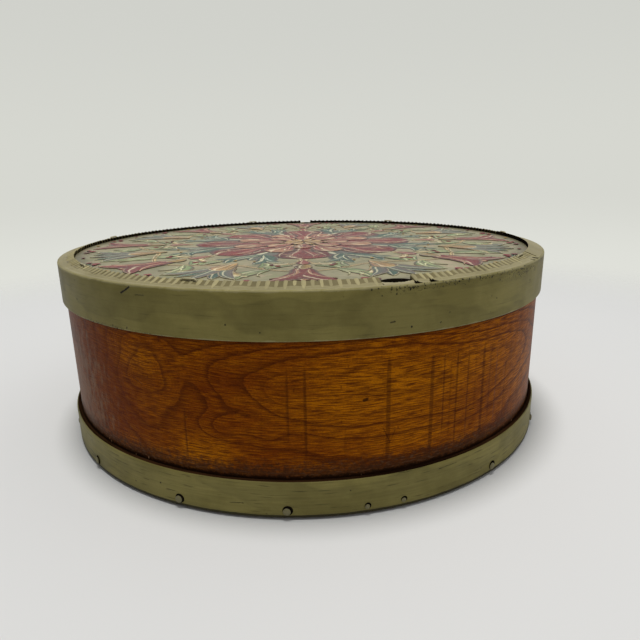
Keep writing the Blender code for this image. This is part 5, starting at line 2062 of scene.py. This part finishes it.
    def berries(self, name: str, paint: bpy.types.Material) -> bpy.types.Object:
        """Return all the berries and dots as low domes of paint.

        Args:
            name: The piece's name.
            paint: The paint.

        Returns:
            The piece.
        """
        template = lathe([(0.0, 0.20 * MM), (0.62 * MM, 0.15 * MM), (1.0 * MM, 0.0), (0.0, -0.65 * MM)], 12).object(
            "dot_template", ())
        tree = Grower("dots_on_the_lid")
        shape = tree.ask("Dot", template)
        coat = tree.ask("Paint", paint)
        info = tree.step("GeometryNodeObjectInfo", {"Object": shape})
        size = tree.named("size")
        grown = tree.step("GeometryNodeInstanceOnPoints", {
            "Points": tree.start.outputs[0], "Instance": info.outputs["Geometry"], "Scale": tree.join(size, size, 1.0)})
        tree.close(grown.outputs[0], [(True, coat)])
        chance = random.Random(41)
        seedbed = MeshLists(levels={"size": []})
        tones: list[float] = []
        for k in range(self.sectors):
            for (radius, degrees), size_mm, tone in self.dots():
                turn = math.radians(self.first_deg + 45.0 * k + degrees + chance.uniform(-0.4, 0.4))
                far = radius * MM + chance.uniform(-0.7, 0.7) * MM
                seedbed.points.append((far * math.cos(turn), far * math.sin(turn), self.panel_top + 12.0 * self.coat))
                seedbed.levels["size"].append(size_mm * chance.uniform(0.85, 1.15))
                tones += [*tone.value, 1.0]
        start = seedbed.object("dot_places", ())
        start.data.attributes.new("tone", "FLOAT_COLOR", "POINT").data.foreach_set("color", np.array(tones, np.float32))
        piece = tree.grow(name, start)
        bpy.data.objects.remove(template, do_unlink=True)
        return softened(piece, 60.0)

    def build(self) -> list[bpy.types.Object]:
        """Return the pattern's pieces."""
        paint = FolkPaint().material()
        return [self.spin("painted_rose", self.rose(), paint), self.spin("painted_leaves", self.leaves(), paint),
                self.spin("painted_vine", self.vine(), paint), self.spin("painted_flowers", self.flowers(), paint),
                self.berries("painted_berries", paint)]


@dataclass
class BoxLid:
    """The lid: side band, kerf-bent rim with staples, and the painted panel."""

    band: BentStrip = field(default_factory=lambda: BentStrip(
        outer=0.1970, inner=0.1946, foot=0.1100, top=0.1386, lap_length=0.0500, lap_deg=132.0,
        rounding=1.0 * MM, rows=6))
    rim: KerfedRim = field(default_factory=KerfedRim)
    staples: Staples = field(default_factory=Staples)
    painting: FolkPainting = field(default_factory=FolkPainting)
    tack: Fastener = Fastener(0.0024, 0.0008, 0.0007, 0.0040)
    tack_heights: tuple[float, float] = (0.1336 + 0.00235, 0.1336 - 0.0118)
    seat_gap: float = 0.3 * MM

    def band_marks(self) -> tuple[Mark, ...]:
        """Return the band's dents, pits and cracks."""
        r = self.band.outer
        pits = ((-126.1, 111.6, 0.7), (-122.3, 112.0, 0.7), (-102.8, 119.3, 0.7), (-97.2, 115.3, 0.6), (-66.9, 114.7, 0.7),
                (-65.1, 119.8, 0.6), (-79.5, 137.2, 0.7), (-78.4, 137.6, 0.6), (-76.2, 137.0, 0.7), (-75.3, 136.1, 0.7),
                (-73.9, 137.2, 0.6), (-72.5, 137.0, 0.7), (-75.3, 133.9, 0.6), (-77.8, 133.5, 0.6), (-55.4, 136.4, 0.8),
                (-52.9, 133.4, 0.7), (-52.2, 137.4, 0.7), (-50.5, 137.0, 0.6), (-49.1, 136.5, 0.7), (-47.8, 133.4, 0.6),
                (-44.1, 136.1, 0.7), (-40.3, 126.7, 0.8), (-53.5, 122.5, 0.6), (-32.9, 137.8, 0.8), (-150.0, 121.0, 0.7),
                (-163.0, 130.0, 0.8), (-10.0, 122.0, 0.8), (30.0, 131.0, 0.8), (70.0, 118.0, 0.7), (160.0, 126.0, 0.8))
        marks = [pit(r, degrees, height, size, 0.9) for degrees, height, size in pits]
        marks += [scratch(r, (-120.6, 136.9), (-122.8, 132.7), 0.75), scratch(r, (-119.4, 132.7), (-117.6, 132.9), 0.6, 0.45),
                  scratch(r, (-76.3, 118.2), (-75.5, 118.4), 0.6, 0.8), scratch(r, (-37.7, 134.8), (-37.5, 132.0), 0.6)]
        return tuple(marks)

    def bend_band(self) -> bpy.types.Object:
        """Return the side band, its paint lighter along both edges from wear and partly a painted highlight."""
        r = self.band.outer
        chipped = (Figure(round_the_box(r, -64.0, 137.2), (0.075, 0.0030), 1.15), Figure(round_the_box(r, -72.0, 136.5), (0.024, 0.0032), 1.35),
                   Figure(round_the_box(r, -128.0, 110.5), (0.060, 0.0016), 1.0), Figure(round_the_box(r, -45.0, 135.0), (0.034, 0.0056), 1.3),
                   Figure(round_the_box(r, 40.0, 137.5), (0.110, 0.0022), 1.0), Figure(round_the_box(r, -200.0, 137.5), (0.090, 0.0022), 1.0))
        paint = OlivePaint("band_paint", PaintPlace.STRIP, (self.band.foot, self.band.top - 0.6 * MM), self.band_marks(), chipped).material()
        stained = BareWood("band_edge", WoodAge.STAINED, PaintPlace.STRIP).material()

        def shape(angle: float, radius: float, height: float) -> tuple[float, float, float]:
            """Return how a point of the outer face moves: a slight waviness."""
            wave = 0.5 + 0.25 * math.sin(6 * angle) + 0.25 * math.sin(13 * angle + height * 70)
            return -0.10 * MM * wave, 0.0, 0.0

        return self.band.lists(self.band.stations(), shape).object("side_band", (paint, paint, stained))

    def build(self, nodes: dict[str, bpy.types.Object]) -> None:
        """Build and dress the whole lid.

        Args:
            nodes: The CAD objects by node name.
        """
        fitted(self.bend_band(), "lid", nodes, ("lid_band",))
        paint = OlivePaint("rim_paint", PaintPlace.SOLID, olive=(0.245, 0.212, 0.105), shade=(0.200, 0.172, 0.080)).material()
        # Darker olive in the kerfs: paint run in, partly painted shade of the kerfs.
        kerf_paint_and_shade = OlivePaint("rim_filling", PaintPlace.SOLID, olive=(0.150, 0.124, 0.052), shade=(0.100, 0.080, 0.030)).material()
        fitted(self.rim.build(paint, kerf_paint_and_shade), "lid", nodes, ("kerfed_rim",))
        # The staples' paint is lighter than the rim's: a painted highlight so the shaded wire reads as olive paint.
        steel = OldMetal("staple_steel", (0.100, 0.090, 0.070), (0.340, 0.300, 0.170), 0.92, 0.2).material()
        fitted(self.staples.build(steel), "lid", nodes, names_with(nodes, "rim_staple_"))
        iron = OldMetal("tack_iron", (0.080, 0.068, 0.036), (0.200, 0.170, 0.050), 0.85, 0.1).material()
        spread = math.degrees(0.012 / self.band.outer / 2)
        seats = [Seat(self.band.lap_deg + side * spread, height, self.band.outer + self.seat_gap)
                 for side, height in zip((-1, 1), self.tack_heights)]
        # Near-black material for painted shade round the heads; these tacks carry none.
        grime_and_shade = BareWood("tack_shade_film", WoodAge.DARK_AND_SHADED).material()
        fitted(self.tack.drive("band_tacks", seats, iron, grime_and_shade), "lid", nodes, names_with(nodes, "band_lap_tack_"))
        redress(nodes["lid_panel"], PanelGround(self.painting.panel_top, self.rim.inner).material())
        for piece in self.painting.build():
            fitted(piece, "lid", nodes)


# The studio


@dataclass
class Studio:
    """Camera, lamp, sky and floor of the photograph."""

    lens: float = 29.86
    eye: tuple[float, float, float] = (0.0, -0.4704, 0.1986)
    pitch: float = 0.2726
    yaw: float = 0.0286
    roll: float = -0.0173
    floor_level: float = -0.9 * MM
    floor_radius: float = 1.2
    floor_colour: Colour = screen(210, 210, 208)
    sky_top: Colour = screen(208, 209, 203)
    sky_middle: Colour = screen(214, 215, 208)
    sky_low: Colour = screen(223, 224, 217)
    light_left: float = 0.205
    light_right: float = 0.60
    behind: float = 0.75
    ahead: float = 0.06
    lamp_watts: float = 69.0
    lamp_size: float = 0.8
    lamp_place: tuple[float, float, float] = (-0.08, -0.10, 3.0)

    def camera(self) -> None:
        """Set the camera where the photographer stood."""
        forward = Vector((math.sin(self.yaw) * math.cos(self.pitch), math.cos(self.yaw) * math.cos(self.pitch), -math.sin(self.pitch)))
        right = Vector((math.cos(self.yaw), -math.sin(self.yaw), 0.0))
        up = right.cross(forward)
        turned_right = right * math.cos(self.roll) + up * math.sin(self.roll)
        turned_up = up * math.cos(self.roll) - right * math.sin(self.roll)
        data = bpy.data.cameras.new("photo_camera")
        data.lens, data.sensor_width, data.clip_start = self.lens, 36.0, 0.01
        made = bpy.data.objects.new("photo_camera", data)
        facing = Matrix((turned_right, turned_up, -forward)).transposed().to_4x4()
        made.matrix_world = Matrix.Translation(self.eye) @ facing
        bpy.context.scene.collection.objects.link(made)
        bpy.context.scene.camera = made

    def lamp(self) -> None:
        """Hang the soft lamp above the box."""
        data = bpy.data.lights.new("overhead", "AREA")
        data.shape, data.size, data.energy = "DISK", self.lamp_size, self.lamp_watts
        made = bpy.data.objects.new("overhead", data)
        made.location = self.lamp_place
        made.rotation_euler = (-Vector(self.lamp_place)).to_track_quat("-Z", "Y").to_euler()
        bpy.context.scene.collection.objects.link(made)

    def sky(self) -> None:
        """Set the sky: pale to the camera, brighter behind the box in reflections."""
        world = bpy.data.worlds.new("sky")
        world.use_nodes = True
        bpy.context.scene.world = world
        sheet = Sheet(world.node_tree)
        background = world.node_tree.nodes["Background"]
        x, y, z = sheet.split(sheet.add("ShaderNodeTexCoord").outputs["Generated"])
        path = sheet.add("ShaderNodeLightPath")
        seen = sheet.mix(sheet.ease(z, 0.02, 0.28), self.sky_middle, self.sky_top)
        seen = sheet.mix(sheet.ease(z, -0.03, -0.16), seen, self.sky_low)
        mirror = sheet.mix(sheet.ease(y, -0.15, 0.60), (self.ahead,) * 3, (self.behind,) * 3)
        soft = sheet.mix(sheet.ease(x, -0.9, 0.9), (self.light_left,) * 3, (self.light_right,) * 3)
        shown = sheet.mix(path.outputs["Is Glossy Ray"], soft, mirror)
        direct = sheet.math("ADD", path.outputs["Is Camera Ray"], path.outputs["Is Transmission Ray"], clamp=True)
        sheet.feed(background.inputs["Color"], sheet.mix(direct, shown, seen))

    def floor(self) -> None:
        """Lay the pale floor, which fades out far from the box."""
        coat = Coat("floor", self.floor_colour, Specular_IOR_Level=0.1)
        place = coat.place_on_object()
        cloud = coat.noise(place, 3.0, 3.0)
        far = coat.vector("LENGTH", place)
        coat.finish(coat.tinted(self.floor_colour, coat.span(cloud, 0.985, 1.015)), 0.85)
        coat.feed(coat.shader.inputs["Alpha"], coat.ease(far, self.floor_radius * 0.75, 0.50))
        lists = MeshLists()
        for k in range(96):
            turn = math.tau * k / 96
            lists.points.append((self.floor_radius * math.cos(turn), self.floor_radius * math.sin(turn), self.floor_level))
        lists.faces.append(tuple(range(96)))
        lists.object("floor", (coat.material,))

    def build(self) -> None:
        """Set up the whole studio."""
        self.camera()
        self.lamp()
        self.sky()
        self.floor()
        bpy.context.scene.view_settings.view_transform = "Standard"
        log.info("studio: camera, lamp, sky and floor")


def plain(bounds: tuple[Vector, Vector]) -> list[list[float]]:
    """Return bounds as plain lists."""
    return [list(corner) for corner in bounds]


def main() -> None:
    """Build the whole scene round the CAD model."""
    logging.basicConfig(level=logging.INFO, format="%(name)s: %(message)s")
    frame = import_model()
    nodes = dict(frame["nodes"])
    Studio().build()
    BoxBody().build(nodes)
    BoxLid().build(nodes)


if __name__ == "__main__":
    main()
